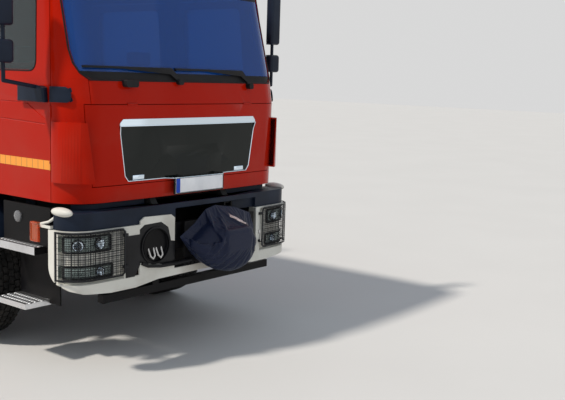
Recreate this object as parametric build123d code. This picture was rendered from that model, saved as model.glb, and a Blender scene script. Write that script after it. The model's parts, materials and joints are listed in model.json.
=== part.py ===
from build123d import *
import math
import os

# A two-axle four-wheel-drive crew-cab fire engine, in millimetres.
# X points to the vehicle's left, Y to the rear and Z up.
# It is drawn with Y = 0 at the cab's front face, and is moved at the end so
# that its origin is on the ground under the middle of its overall length.

# Wheels and axles
wheelbase = 4200
front_axle_y = 1450
tyre_radius = 522
tyre_width = 298
rim_radius = 286
rim_wall = 9
rim_width = 222
hand_holes = 8
hand_hole_ring = 236
hand_hole_radius = 24
front_track = 1980
rear_track = 1800
twin_pitch = 330
kingpin_x = 840
steer_limit_deg = 35
spindle_radius = 45
running_gap = 0.3
axle_tube_radius = 62
diff_radius = 185
diff_width = 190

# Chassis frame
frame_width = 860
rail_top_z = 1060
rail_height = 270
rail_flange = 80
rail_thickness = 9
rail_front_y = -20
rail_rear_y = 7760
spring_length = 1400
spring_width = 78

# Cab
cab_half_width = 1120
cab_length = 2785
cab_base_z = 1206
cab_wall = 60
front_skin = 35
flap_skin = 20
flap_top_z = 1888
screen_base_z = 2060
screen_top_z = 2800
cab_roof_z = 2960
cab_bow = 31
cab_corner = 260
corner_seam_x = 960
glass_inset = 6
glass_thickness = 6
seam = 5
floor_thickness = 45
tilt_pivot_y = 20
tilt_pivot_z = 1125
tilt_pivot_x = 385
tilt_pin_radius = 20

# Front flap with its hinge, grille and bright strip
flap_axis_y = 4
flap_knuckle = 6
flap_pin_radius = 3
flap_hinge_x = 620
grille_top_z = 1735
grille_bottom_z = 1340

# Air guides that stand off the cab's front corners
guide_low_z = 1350
guide_high_z = 1765
guide_reach = 46
guide_wall = 11
guide_end_y = 250

# Doors, measured back from the cab's front face
front_door_y = 275
front_door_end_y = 1235
crew_door_y = 1400
crew_door_end_y = 2400
door_top_z = 2755
window_base_z = 2110
window_top_z = 2690
window_corner = 55
hinge_radius = 8
hinge_pin_radius = 5
hinge_height = 50
door_hinge_heights = (1450, 1830)

# Front bumper
bumper_front_y = -75
bumper_half_width = 1190
bumper_top_z = 1035
bumper_skin = 12
bumper_cap_z = 1158
bumper_end_y = 212
bumper_round = 130
jaw_x = -455
jaw_radius = 140
winch_open_x0 = -262
winch_open_x1 = 690
guard_inset = 16
guard_outset = 22
guard_wire = 2.6
guard_inner_x = 748
guard_foot_z = 690
guard_top_z = 1032
guard_rows = 9
guard_columns = 12

# Equipment body
body_gap = 150
body_half_width = 1250
body_length = 4915
body_base_z = 660
body_rear_base_z = 820
body_floor_z = 1200
body_roof_z = 3000
body_wall = 40
locker_inner_x = 470
arch_radius = 650
shutter_top_z = 2860
shutter_recess = 22
slat_pitch = 90

# Mast and monitor
mast_x = 960
mast_y_offset = 130
mast_radius = 80
mast_wall = 10
mast_travel = 1450
monitor_y_offset = 830
monitor_reach = 640

# Rear coupling
coupling_radius = 60
coupling_bore = 26

# Derived places
rear_axle_y = front_axle_y + wheelbase
axle_z = tyre_radius
rail_x = frame_width / 2
rail_bottom_z = rail_top_z - rail_height
body_front_y = cab_length + body_gap
body_rear_y = body_front_y + body_length
arch_front_y = rear_axle_y - arch_radius - 50
arch_rear_y = rear_axle_y + arch_radius + 50
mast_y = body_front_y + mast_y_offset
monitor_y = body_front_y + monitor_y_offset
winch_face_y = bumper_front_y - 1
cover_front_y = bumper_front_y - 255
tow_end_y = body_rear_y + 95
mid_y = (cover_front_y + tow_end_y) / 2
flap_axis_z = flap_top_z + seam / 2


def block(x0, x1, y0, y1, z0, z1):
    centre = Pos((x0 + x1) / 2, (y0 + y1) / 2, (z0 + z1) / 2)
    return centre * Box(abs(x1 - x0), abs(y1 - y0), abs(z1 - z0))


def prism_x(points, x0, x1):
    """A (y, z) outline pushed along X."""
    plane = Plane(origin=(x0, 0, 0), x_dir=(0, 1, 0), z_dir=(1, 0, 0))
    return extrude(plane * make_face(Polyline(*points, close=True)), amount=x1 - x0, dir=(1, 0, 0))


def prism_y(points, y0, y1):
    """An (x, z) outline pushed along Y."""
    plane = Plane(origin=(0, y0, 0), x_dir=(1, 0, 0), z_dir=(0, -1, 0))
    return extrude(plane * make_face(Polyline(*points, close=True)), amount=y1 - y0, dir=(0, 1, 0))


def rod(start, end, radius):
    """A round bar from one point to another."""
    line = Vector(*end) - Vector(*start)
    plane = Plane(origin=start, z_dir=line)
    return plane * Cylinder(radius, line.length, align=(Align.CENTER, Align.CENTER, Align.MIN))


def cylinder_x(x0, x1, y, z, radius):
    return rod((x0, y, z), (x1, y, z), radius)


def cylinder_z(x, y, z0, z1, radius):
    return rod((x, y, z0), (x, y, z1), radius)


def mirrored(shape):
    return mirror(shape, about=Plane.YZ)


def both(shape):
    """The shape and its mirror image on the other side."""
    return Compound(children=list(shape.solids()) + list(mirrored(shape).solids()))


def plan_outline(half_width, front_y, bow, corner, rear_y, z):
    """A plan view with a bowed front, two round front corners and a square back."""
    side_y = front_y + bow
    front = ThreePointArc((-half_width, side_y), (0, front_y), (half_width, side_y))
    rest = Polyline((half_width, side_y), (half_width, rear_y), (-half_width, rear_y), (-half_width, side_y))
    face = make_face([front, rest])
    corners = face.vertices().sort_by(Axis.Y)[:2]
    return Pos(0, 0, z) * fillet(corners, corner)


# The cab's plan at each level: height, front face, half width, corner radius
cab_levels = [
    (cab_base_z, 12, cab_half_width, cab_corner),
    (flap_top_z, 0, cab_half_width, cab_corner),
    (screen_base_z, 30, cab_half_width, cab_corner),
    (screen_top_z, 225, 1075, 180),
    (2905, 330, 1020, 165),
    (cab_roof_z, 520, 860, 150),
]


def cab_body(inset):
    """The cab's whole outside form, drawn in by an even inset."""
    faces = []
    for z, front, half_width, corner in cab_levels:
        level = z - inset if z > screen_top_z else z
        faces.append(plan_outline(half_width - inset, front + inset, cab_bow,
                                  corner - inset, cab_length - inset, level))
    return loft(faces, ruled=True)


def cab_skin(inset, thickness):
    return cab_body(inset) - cab_body(inset + thickness)


def flap_outline(gap):
    """The front flap's edge, grown by a gap all round."""
    half = [(1003 + gap, flap_top_z + gap), (995 + gap, 1770), (945 + gap, 1320 - gap)]
    return half + [(-x, z) for x, z in reversed(half)]


def screen_outline():
    """The windscreen seen from the front, with its lower corners rounded off."""
    half = [(1000, screen_top_z), (1034, 2575), (1037, 2260), (1027, 2165), (1000, 2100), (945, screen_base_z)]
    return half + [(-x, z) for x, z in reversed(half)]


def front_door_outline(gap):
    return [(front_door_y - gap, cab_base_z - 10), (front_door_y - gap, screen_base_z),
            (front_door_y + 75 - gap, door_top_z + gap), (front_door_end_y + gap, door_top_z + gap),
            (front_door_end_y + gap, cab_base_z - 10)]


def crew_door_outline(gap):
    return [(crew_door_y - gap, cab_base_z - 10), (crew_door_y - gap, door_top_z + gap),
            (crew_door_end_y + gap, door_top_z + gap), (crew_door_end_y + gap, cab_base_z - 10)]


front_window = [(440, window_base_z), (475, window_top_z), (1150, window_top_z), (1150, window_base_z)]
crew_window = [(crew_door_y + 85, window_base_z), (crew_door_y + 85, window_top_z),
               (crew_door_end_y - 90, window_top_z), (crew_door_end_y - 90, window_base_z)]


def window_prism(window):
    prism = prism_x(window, 900, 1300)
    return fillet(prism.edges().filter_by(Axis.X), window_corner)


def hinge_slot(y, z):
    """The room that a door hinge's turning eye needs in the fixed panel."""
    return cylinder_z(cab_half_width + 1, y - seam, z - hinge_height / 2 - 1, z + hinge_height / 2 + 1,
                      hinge_radius + 1)


def hinge_fixed(y, z):
    """The pin of a door hinge with the two lugs that hold it."""
    axis_x = cab_half_width + 1
    low = z - hinge_height / 2 - 1
    high = z + hinge_height / 2 + 1
    pin = cylinder_z(axis_x, y - seam, low - 15, high + 15, hinge_pin_radius)
    lugs = cylinder_z(axis_x, y - seam, low - 15, low, hinge_radius)
    lugs += cylinder_z(axis_x, y - seam, high, high + 15, hinge_radius)
    return pin + lugs


def hinge_eye(y, z):
    """The eye of a door hinge and the strap that joins it to the door's edge."""
    axis_x = cab_half_width + 1
    low = z - hinge_height / 2
    high = z + hinge_height / 2
    eye = cylinder_z(axis_x, y - seam, low, high, hinge_radius)
    eye += block(axis_x - hinge_radius, axis_x, y - seam, y + 4, low, high)
    return eye - cylinder_z(axis_x, y - seam, low, high, hinge_pin_radius + running_gap)


def make_cab_front():
    skin = cab_skin(0, front_skin)
    skin &= block(-1300, 1300, -100, front_door_y - seam, cab_base_z, screen_base_z)
    skin -= prism_y(flap_outline(seam / 2), -100, 400)
    bulkhead = cab_body(20) & block(-1300, 1300, 130, 150, cab_base_z, screen_base_z)
    front = skin + bulkhead
    for z in door_hinge_heights:
        slot = hinge_slot(front_door_y, z)
        front -= slot
        front -= mirrored(slot)
        fixed = hinge_fixed(front_door_y, z)
        front += fixed
        front += mirrored(fixed)
    for x in (-flap_hinge_x, flap_hinge_x):
        front -= flap_knuckle_room(x)
        front += flap_pin(x)
    groove = cab_skin(-1, 7) & block(corner_seam_x - seam / 2, corner_seam_x + seam / 2, -100, 200,
                                     flap_top_z + seam, screen_base_z + 1)
    front -= groove
    front -= mirrored(groove)
    for side_piece in (make_air_guide(), make_mirror_pad()):
        front += side_piece
        front += mirrored(side_piece)
    return front


def make_air_guide():
    """The scoop on the left corner, open towards the flap and closed at its other edges."""
    reach, wall = guide_reach, guide_wall
    height = guide_high_z - guide_low_z

    def corner_form(inset):
        plan = plan_outline(cab_half_width + 12 - inset, -reach + inset, cab_bow, cab_corner - 10 - inset, 600,
                            guide_low_z)
        return extrude(plan, amount=height, dir=(0, 0, 1))

    front = prism_y([(1014, guide_high_z), (1300, guide_high_z), (1300, guide_low_z), (965, guide_low_z)], -100,
                    guide_end_y)
    shell = corner_form(0) - corner_form(wall)
    webs = corner_form(0) - cab_body(2)
    ends = block(900, 1300, -100, 300, guide_high_z - wall, guide_high_z)
    ends += block(900, 1300, -100, 300, guide_low_z, guide_low_z + wall)
    ends += block(900, 1300, guide_end_y - wall, guide_end_y, guide_low_z, guide_high_z)
    return (shell + (webs & ends)) & front


def make_mirror_pad():
    """The raised pad on the left corner that carries on the mirror foot's line."""
    outline = [(1300, 1897), (1092, 1897), (1077, 1912), (1071, 1950), (1077, 1988), (1092, 2003), (1300, 2003)]
    return cab_skin(-18, 20) & prism_y(outline, -100, guide_end_y + 12)


def flap_knuckle_room(x):
    return cylinder_x(x - 31, x + 31, flap_axis_y, flap_axis_z, flap_knuckle + 1.2)


def flap_pin(x):
    pin = cylinder_x(x - 46, x + 46, flap_axis_y, flap_axis_z, flap_pin_radius)
    for low in (x - 46, x + 31):
        pin += cylinder_x(low, low + 15, flap_axis_y, flap_axis_z, flap_knuckle)
        pin += block(low, low + 15, flap_axis_y, flap_axis_y + 14, flap_axis_z + 1, flap_axis_z + flap_knuckle)
    return pin


def flap_eye(x):
    eye = cylinder_x(x - 30, x + 30, flap_axis_y, flap_axis_z, flap_knuckle)
    eye += block(x - 30, x + 30, flap_axis_y, flap_axis_y + 14, flap_axis_z - flap_knuckle, flap_axis_z - 1)
    return eye - cylinder_x(x - 30, x + 30, flap_axis_y, flap_axis_z, flap_pin_radius + running_gap)


grille_outline = [(-729, grille_top_z), (729, grille_top_z), (672, grille_bottom_z + 40),
                  (640, grille_bottom_z), (-640, grille_bottom_z), (-672, grille_bottom_z + 40)]
strip_outline = [(-729, grille_top_z), (-729, grille_top_z + 22), (-700, grille_top_z + 52),
                 (700, grille_top_z + 52), (729, grille_top_z + 22), (729, grille_top_z)]


def make_front_flap():
    skin = cab_skin(0, flap_skin)
    flap = skin & prism_y(flap_outline(-seam / 2), -100, 400)
    flap -= prism_y(grille_outline, -100, 300)
    flap -= prism_y(strip_outline, -100, 300)
    for x in (-flap_hinge_x, flap_hinge_x):
        for low in (x - 47, x + 30.5):
            flap -= cylinder_x(low, low + 16.5, flap_axis_y, flap_axis_z, flap_knuckle + 1.2)
        flap += flap_eye(x)
    return flap


def make_grille():
    """A black panel with slots across its lower part and a holder for a plate."""
    panel = cab_skin(4, flap_skin - 4) & prism_y(grille_outline, -100, 300)
    slots = None
    for z in (1400, 1440, 1480):
        for x0, x1 in ((-610, -330), (330, 610)):
            cut = block(x0, x1, -50, 14, z, z + 22)
            slots = cut if slots is None else slots + cut
    panel -= slots
    panel -= block(-270, 270, -50, 12, 1470, 1580)
    holder = block(-240, 300, -42, -30, 1219, 1349)
    holder += block(-150, 210, -30, 18, 1343, 1349)
    return panel + holder


def make_grille_strip():
    return cab_skin(-8, flap_skin + 8) & prism_y(strip_outline, -100, 300)


def make_side_frame():
    """The left side's screen pillar, door pillars, header and rear quarter."""
    wall = cab_skin(0, cab_wall)
    wall &= block(900, 1300, -100, cab_length - cab_wall, cab_base_z, screen_top_z)
    wall -= block(800, 1300, -100, front_door_y - seam, cab_base_z - 10, screen_base_z)
    wall -= prism_y(screen_outline(), -100, 420)
    wall -= prism_x(front_door_outline(seam), 800, 1300)
    wall -= prism_x(crew_door_outline(seam), 800, 1300)
    for z in door_hinge_heights:
        wall -= hinge_slot(crew_door_y, z)
        wall += hinge_fixed(crew_door_y, z)
    return wall


def make_roof():
    roof = cab_skin(0, 45) & block(-1300, 1300, -100, cab_length + 10, screen_top_z, cab_roof_z + 10)
    return roof


def make_rear_wall():
    return cab_body(0) & block(-1300, 1300, cab_length - cab_wall, cab_length + 10, cab_base_z, screen_top_z)


def make_cab_floor():
    """The floor with its engine hump and the two lugs of the tilt hinge."""
    edge = cab_half_width - cab_wall - seam
    top = cab_base_z + floor_thickness
    floor = block(-edge, edge, 150, cab_length - cab_wall, cab_base_z, top) & cab_body(cab_wall)
    floor += block(-360, 360, 150, 1120, top, top + 160)
    for side in (-1, 1):
        x0 = side * tilt_pivot_x - 30
        arm = prism_x([(tilt_pivot_y - 20, tilt_pivot_z + 10), (tilt_pivot_y + 20, tilt_pivot_z - 30),
                       (260, cab_base_z - 50), (260, top), (151, top), (151, cab_base_z), (50, cab_base_z)],
                      x0, x0 + 60)
        arm += cylinder_x(x0, x0 + 60, tilt_pivot_y, tilt_pivot_z, 36)
        arm -= cylinder_x(x0, x0 + 60, tilt_pivot_y, tilt_pivot_z, tilt_pin_radius + running_gap)
        floor += arm
    return floor


def make_windscreen():
    return cab_skin(glass_inset, glass_thickness) & prism_y(screen_outline(), -100, 420)


def press_line(points):
    """A shallow round groove along (y, z) points on the left side."""
    groove = None
    for (y0, z0), (y1, z1) in zip(points, points[1:]):
        piece = rod((cab_half_width + 3, y0, z0), (cab_half_width + 3, y1, z1), 7)
        groove = piece if groove is None else groove + piece
    return groove


def make_door(outline, window, hinge_y, end_y):
    """A door as thick as the cab's wall that follows its side, with its window cut."""
    door = cab_skin(0, cab_wall) & prism_x(outline, 900, 1300)
    door -= window_prism(window)
    recess = block(cab_half_width - 14, 1300, end_y - 230, end_y - 70, 1900, 1960)
    door -= recess
    for z in door_hinge_heights:
        for low in (z - hinge_height / 2 - 18, z + hinge_height / 2 - 1):
            door -= cylinder_z(cab_half_width + 1, hinge_y - seam, low, low + 19, hinge_radius + 1)
        door += hinge_eye(hinge_y, z)
    return door


def make_window(window):
    return cab_skin(24, 6) & window_prism(window)


def make_mirror():
    """The left mirror: its cover on the door, its tube loop and two housings."""
    face = cab_half_width
    cover = prism_x([(290, 1893), (300, 1990), (330, 2005), (590, 2005), (590, 1893)], face, face + 46)
    tube = rod((face + 30, 380, 1995), (1400, 400, 2035), 14)
    tube += rod((1400, 400, 2035), (1400, 400, 2850), 14)
    tube += Pos(1400, 400, 2035) * Sphere(14)
    upper = fillet(block(1336, 1466, 353, 433, 2395, 2820).edges().filter_by(Axis.Z), 30)
    lower = fillet(block(1336, 1466, 353, 433, 2150, 2305).edges().filter_by(Axis.Z), 30)
    return cover + tube + upper + lower


def make_light_bar():
    base = block(-820, 820, 640, 900, cab_roof_z + 22, cab_roof_z + 62)
    lens = prism_x([(645, cab_roof_z + 62), (665, cab_roof_z + 165), (875, cab_roof_z + 165), (895, cab_roof_z + 62)],
                   -815, 815)
    bar = base + lens
    for x in (-560, 500):
        bar += block(x, x + 60, 690, 850, cab_roof_z, cab_roof_z + 30)
    return bar


def make_wipers():
    """Two arms with blades, and a small cap, along the foot of the windscreen."""
    wipers = []
    cab = cab_body(0)
    base = screen_base_z
    blade_layer = cab_skin(-14, 14 + glass_inset - running_gap)
    arm_layer = cab_skin(-16, 13)
    for pivot_x, tip_x, end_x, foot_z in ((-145, -985, -200, 2030), (655, -165, 598, 2006)):
        blade = blade_layer & block(tip_x, end_x, -100, 300, base + 76, base + 92)
        bar = prism_y([(tip_x + 330, base + 76), (end_x, base + 92), (pivot_x + 16, base), (pivot_x + 14, foot_z + 12),
                       (pivot_x - 14, foot_z + 12), (pivot_x - 20, base), (end_x - 30, base + 46)], -100, 300)
        foot = fillet(block(pivot_x - 26, pivot_x + 26, -8, 70, foot_z, foot_z + 44).edges().filter_by(Axis.Y), 18)
        wipers += (blade + (arm_layer & bar) + (foot - cab)).solids()
    cap = fillet(block(-688, -574, -14, 60, base - 52, base + 8).edges().filter_by(Axis.Y), 20) - cab
    wipers += (cap & block(-800, -500, -100, 60, base - 60, base - 1)).solids()
    return Compound(children=list(wipers))


def make_seats():
    """Two front seats on plinths and a crew bench, as plain closed forms."""
    top = cab_base_z + floor_thickness
    seats = []
    for x in (-620, 620):
        seat = block(x - 230, x + 230, 800, 1290, top, top + 280)
        seat += block(x - 250, x + 250, 780, 1290, top + 280, top + 420)
        seat += prism_x([(1180, top + 420), (1290, top + 420), (1360, top + 1050), (1260, top + 1050)],
                        x - 240, x + 240)
        seats.append(seat)
    bench = block(-1000, 1000, 2080, 2560, top, top + 420)
    bench += prism_x([(2480, top + 420), (2600, top + 420), (2680, top + 1050), (2580, top + 1050)], -1000, 1000)
    seats.append(bench)
    return Compound(children=[s for seat in seats for s in seat.solids()])


def steering_ring(radius, grip):
    """A ring of six-sided section that lies flat about Z."""
    section = Plane.XZ * Pos(radius, 0) * RegularPolygon(grip, 6)
    return revolve(section, Axis.Z)


def make_dashboard():
    """The dashboard with the steering column and wheel at the left seat."""
    board = prism_x([(150, 1640), (150, 2050), (330, 2040), (470, 1960), (470, 1760), (330, 1640)], -985, 985)
    column = rod((620, 420, 1720), (620, 612, 1944), 32)
    wheel = Pos(620, 612, 1944) * Rot(-40.6, 0, 0) * steering_ring(215, 16)
    spokes = Pos(620, 612, 1944) * Rot(-40.6, 0, 0) * (Box(430, 34, 16) + Box(34, 430, 16))
    return board + column + wheel + spokes


def bumper_solid(outset):
    """The bumper's plan pushed through its whole height."""
    plan = plan_outline(bumper_half_width + outset, bumper_front_y - outset, 40, 190 + outset, 400, 0)
    return extrude(plan, amount=1400, dir=(0, 0, 1))


def bumper_profile():
    """The white band seen from the front: its top is level, and its foot rises to the middle."""
    half = [(1400, bumper_top_z), (1400, 654), (1186, 654), (1150, 622), (1080, 600), (860, 580), (640, 582),
            (420, 612), (0, 618)]
    return half + [(-x, z) for x, z in reversed(half[:-1])]


def lamp_opening(grow):
    half = [(742 - grow, 664 - grow), (742 - grow, 1024 + grow), (1300, 1024 + grow), (1300, 664 - grow)]
    return half


def make_front_bumper():
    band = bumper_solid(0) - bumper_solid(-bumper_skin)
    band &= block(-1400, 1400, -400, bumper_end_y, 0, 1400)
    band &= prism_y(bumper_profile(), -400, 300)
    lamp = prism_y(lamp_opening(0), -400, 148)
    band -= lamp
    band -= mirrored(lamp)
    band -= block(-728, -604, -400, 300, 668, 962)
    band += (bumper_solid(0) - bumper_solid(-bumper_skin)) & prism_y(jaw_arch, -400, 0)
    band -= cylinder_jaw(jaw_radius, -400, 300)
    band -= block(winch_open_x0, winch_open_x1, -400, 300, 668, 1200)
    rounding = block(1000, 1300, bumper_end_y - bumper_round, bumper_end_y + 1, 500, 654 + bumper_round)
    rounding -= cylinder_x(990, 1310, bumper_end_y - bumper_round, 654 + bumper_round, bumper_round)
    band -= rounding
    band -= mirrored(rounding)
    shelf = bumper_solid(-4) - bumper_solid(-40)
    shelf &= block(-1400, 1400, -400, 175, 1029, bumper_top_z)
    shelf -= block(winch_open_x0, winch_open_x1, -400, 300, 668, 1200)
    band += shelf
    for x in (-rail_x, rail_x - 60):
        band += block(x, x + 60, bumper_front_y + 8, rail_front_y, 624, 660)
    return band


# The raised hood over the tow jaw, seen from the front
jaw_arch = [(-598, bumper_top_z - 5), (-598, 1060), (-560, 1086), (-300, 1080), (winch_open_x0, 1054),
            (winch_open_x0, bumper_top_z - 5)]


def cylinder_jaw(radius, y0, y1):
    return rod((jaw_x, y0, 868), (jaw_x, y1, 868), radius)


def make_bumper_step():
    """The dark upper moulding that fills the space under the cab's lip."""
    top = bumper_solid(-14) & block(-1400, 1400, -400, 175, bumper_top_z, bumper_cap_z)
    top -= bumper_solid(-74) & block(-1400, 1400, -400, 175, bumper_top_z - 10, bumper_cap_z - 16)
    top -= block(winch_open_x0 + 20, winch_open_x1, -400, -14, 1000, bumper_cap_z - 40)
    edge = cab_half_width - 50
    lip = extrude(plan_outline(edge, 62, cab_bow, 210, 300, bumper_cap_z - 8), amount=cab_base_z - bumper_cap_z - 2)
    lip -= extrude(plan_outline(edge - 8, 70, cab_bow, 202, 310, bumper_cap_z - 9), amount=90)
    top += lip & block(-1400, 1400, -100, 172, bumper_cap_z - 8, cab_base_z - 10)
    top -= block(-440, 440, -26, 400, 1000, cab_base_z)
    return top


def make_headlamps():
    """Each side's lamp bucket with its upper and lower lamp."""
    bucket = bumper_solid(-bumper_skin) - bumper_solid(-112)
    bucket &= prism_y([(732, 656), (732, 1028), (1300, 1028), (1300, 656)], -400, 140)
    pocket = bumper_solid(0) - bumper_solid(-58)
    bucket -= pocket & prism_y([(746, 668), (746, 1020), (1300, 1020), (1300, 668)], -400, 124)
    lamps = bumper_solid(-20) - bumper_solid(-60)
    upper = lamps & block(780, 1200, -400, 96, 880, 1000)
    lower = lamps & block(790, 1200, -400, 80, 690, 800)
    return both(bucket + upper + lower)


def make_lamp_guards():
    """Wire guards that stand in front of the lamps and wrap the bumper's corners."""
    ring = bumper_solid(guard_outset) - bumper_solid(guard_inset)
    low, high, inner = guard_foot_z, guard_top_z, guard_inner_x
    ring &= prism_y([(inner + 24, low), (inner, low + 24), (inner, high - 24), (inner + 24, high), (1300, high),
                     (1300, low)], -400, 118)
    ring -= prism_y([(inner + 30, low + 12), (inner + 12, low + 30), (inner + 12, high - 30), (inner + 30, high - 12),
                     (1300, high - 12), (1300, low + 12)], -400, 104)
    rows = bumper_solid(guard_inset + guard_wire) - bumper_solid(guard_inset)
    uprights = bumper_solid(guard_outset) - bumper_solid(guard_outset - guard_wire)
    guard = ring
    for k in range(1, guard_rows):
        z = guard_foot_z + k * (guard_top_z - guard_foot_z) / guard_rows
        guard += rows & block(inner + 6, 1300, -400, 108, z - guard_wire / 2, z + guard_wire / 2)
    for k in range(1, guard_columns):
        x = inner + 6 + k * (bumper_half_width - inner) / guard_columns
        guard += uprights & block(x - guard_wire / 2, x + guard_wire / 2, -400, 60, low + 5, high - 5)
    for z in (740, 970):
        foot = bumper_solid(guard_inset + 2) - bumper_solid(running_gap)
        guard += foot & block(722, inner + 10, -400, 100, z, z + 20)
    return both(guard)


def make_winch():
    """The winch's mounting plate, bolted across the rails' front ends."""
    plate = block(-160, 640, winch_face_y, winch_face_y + 14, 690, 1010)
    for x in (-140, rail_x - rail_flange):
        plate += block(x, x + rail_flange, winch_face_y + 10, rail_front_y, 800, 1000)
    plate += block(-160, 640, winch_face_y, rail_front_y, 690, 704)
    return plate


def make_winch_cover():
    """The tarpaulin over the winch, a soft bulging form."""
    edge = [(-215, 900), (-60, 985), (60, 1085), (170, 1108), (400, 1070), (590, 1005), (645, 880), (632, 760),
            (548, 685), (405, 615), (150, 620), (-90, 755)]
    centre_x, centre_z = 210, 860

    def ring(y, scale, shift):
        plane = Plane(origin=(0, y, 0), x_dir=(1, 0, 0), z_dir=(0, -1, 0))
        points = [(centre_x + shift + (x - centre_x) * scale, centre_z + (z - centre_z) * scale) for x, z in edge]
        return plane * make_face(Polyline(*points, close=True))

    rings = [ring(winch_face_y - running_gap, 1.0, 0), ring(-190, 0.96, -62), ring(-275, 0.78, -62),
             ring(cover_front_y, 0.42, -50)]
    return loft(rings, ruled=True)


def make_frame_rails():
    """Two channel rails with cross members, hinge towers and the under-run bars."""
    z0, z1 = rail_bottom_z, rail_top_z
    t = rail_thickness
    inner = rail_x - rail_flange
    rail = block(inner, rail_x, rail_front_y, rail_rear_y, z0, z1)
    rail -= block(inner - 1, rail_x - t, rail_front_y - 1, rail_rear_y + 1, z0 + t, z1 - t)
    frame = rail + mirrored(rail)
    frame += block(-rail_x + t - 1, rail_x - t + 1, rail_front_y, rail_front_y + 40, 800, 1000)
    for y in (300, 2100, 3300, 4600, 6500, rail_rear_y - 60):
        frame += block(-rail_x + t - 1, rail_x - t + 1, y, y + 60, z0 + 150, z1 - t - 10)
    for side in (-1, 1):
        for x0 in (side * tilt_pivot_x - 48, side * tilt_pivot_x + 32):
            tower = block(x0, x0 + 16, rail_front_y, 90, rail_top_z - 30, tilt_pivot_z)
            tower += cylinder_x(x0, x0 + 16, tilt_pivot_y, tilt_pivot_z, 30)
            frame += tower
        frame += block(side * tilt_pivot_x - 48, side * tilt_pivot_x + 48, rail_front_y, 90,
                       rail_top_z - 20, rail_top_z + 12)
        frame += cylinder_x(side * tilt_pivot_x - 48, side * tilt_pivot_x + 48, tilt_pivot_y, tilt_pivot_z,
                            tilt_pin_radius)
    for x in (-rail_x, rail_x - 60):
        frame += block(x, x + 60, rail_rear_y - 260, rail_rear_y - 180, 480, z0)
    frame += block(-1150, 1150, rail_rear_y - 260, rail_rear_y - 180, 480, 600)
    for x in (-rail_x, rail_x - 60):
        frame += block(x, x + 60, rail_front_y, rail_front_y + 60, 500, z0)
    frame += block(-900, 900, rail_front_y, rail_front_y + 60, 500, 560)
    return frame


def spring_pack(y, x):
    """A leaf spring as three arcs of leaves, clamped at the axle and hung at both ends."""
    top = rail_bottom_z - 20
    sag = 100
    half = spring_length / 2
    seat = axle_z + axle_tube_radius
    pack = None
    for leaf, span in ((0, half), (1, half * 0.75), (2, half * 0.5)):
        low = seat + 48 - leaf * 16
        rise = sag * (span / half) ** 2
        arc = ThreePointArc((y - span, low + rise), (y, low), (y + span, low + rise))
        back = ThreePointArc((y + span, low + rise + 16.5), (y, low + 16.5), (y - span, low + rise + 16.5))
        ends = [Line((y + span, low + rise), (y + span, low + rise + 16.5)),
                Line((y - span, low + rise + 16.5), (y - span, low + rise))]
        plane = Plane(origin=(x - spring_width / 2, 0, 0), x_dir=(0, 1, 0), z_dir=(1, 0, 0))
        piece = extrude(plane * make_face([arc, ends[0], back, ends[1]]), amount=spring_width, dir=(1, 0, 0))
        pack = piece if pack is None else pack + piece
    pack += block(x - 50, x + 50, y - 70, y + 70, seat - 20, seat + 70)
    for end in (y - half, y + half):
        pack += block(x - 39, x + 39, end - 25, end + 25, seat + 60 + sag - 20, rail_bottom_z)
    return pack


def axle_casing(y, half_length):
    casing = cylinder_x(-half_length, half_length, y, axle_z, axle_tube_radius)
    casing += rod((0, y - diff_width / 2, axle_z), (0, y + diff_width / 2, axle_z), diff_radius)
    casing += rod((0, y, axle_z), (0, y + (-1 if y > 3000 else 1) * 260, axle_z + 30), 70)
    return casing


def make_front_axle():
    """The steered axle with its king-pin eyes and its springs."""
    axle = axle_casing(front_axle_y, kingpin_x - 10)
    for side in (-1, 1):
        x = side * kingpin_x
        axle -= block(x - 64, x + 64, front_axle_y - 90, front_axle_y + 90, axle_z - 200, axle_z + 200)
        axle += cylinder_z(x, front_axle_y, axle_z - 62, axle_z + 62, 56)
        inner = x - side * 70
        axle += cylinder_x(min(inner, x - side * 30), max(inner, x - side * 30), front_axle_y, axle_z, 50)
        axle -= cylinder_z(x, front_axle_y, axle_z - 62, axle_z + 62, 25 + running_gap)
        axle += spring_pack(front_axle_y, side * (rail_x - 41))
    return axle


def make_rear_axle():
    """The driven rear axle with its hub spindles and its springs."""
    axle = axle_casing(rear_axle_y, 560)
    outer = rear_track / 2 + twin_pitch / 2 + 30
    axle += cylinder_x(-outer, outer, rear_axle_y, axle_z, spindle_radius)
    for side in (-1, 1):
        axle += spring_pack(rear_axle_y, side * (rail_x - 41))
    return axle


def make_knuckle():
    """The left steering knuckle: a fork on its king pin and the wheel's spindle."""
    x = kingpin_x
    pin = cylinder_z(x, front_axle_y, axle_z - 100, axle_z + 100, 25)
    fork = block(x - 40, x + 100, front_axle_y - 55, front_axle_y + 55, axle_z + 67, axle_z + 100)
    fork += block(x - 40, x + 100, front_axle_y - 55, front_axle_y + 55, axle_z - 100, axle_z - 67)
    fork += block(x + 75, x + 100, front_axle_y - 75, front_axle_y + 75, axle_z - 100, axle_z + 100)
    spindle = cylinder_x(x + 100, front_track / 2 + 120, front_axle_y, axle_z, spindle_radius)
    arm = block(x - 40, x + 30, front_axle_y + 54, front_axle_y + 170, axle_z - 100, axle_z - 72)
    return pin + fork + spindle + arm


def rim_barrel(x):
    """A wheel rim's barrel, centred on x."""
    half = rim_width / 2
    plane_at = Pos(x, 0, 0)
    profile = [(-half, rim_radius - rim_wall), (-half, rim_radius + 14), (-half + 9, rim_radius + 14),
               (-half + 9, rim_radius), (half - 9, rim_radius), (half - 9, rim_radius + 14), (half, rim_radius + 14),
               (half, rim_radius - rim_wall)]
    face = make_face(Polyline(*profile, close=True))
    return plane_at * revolve(face, Axis.X)


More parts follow.
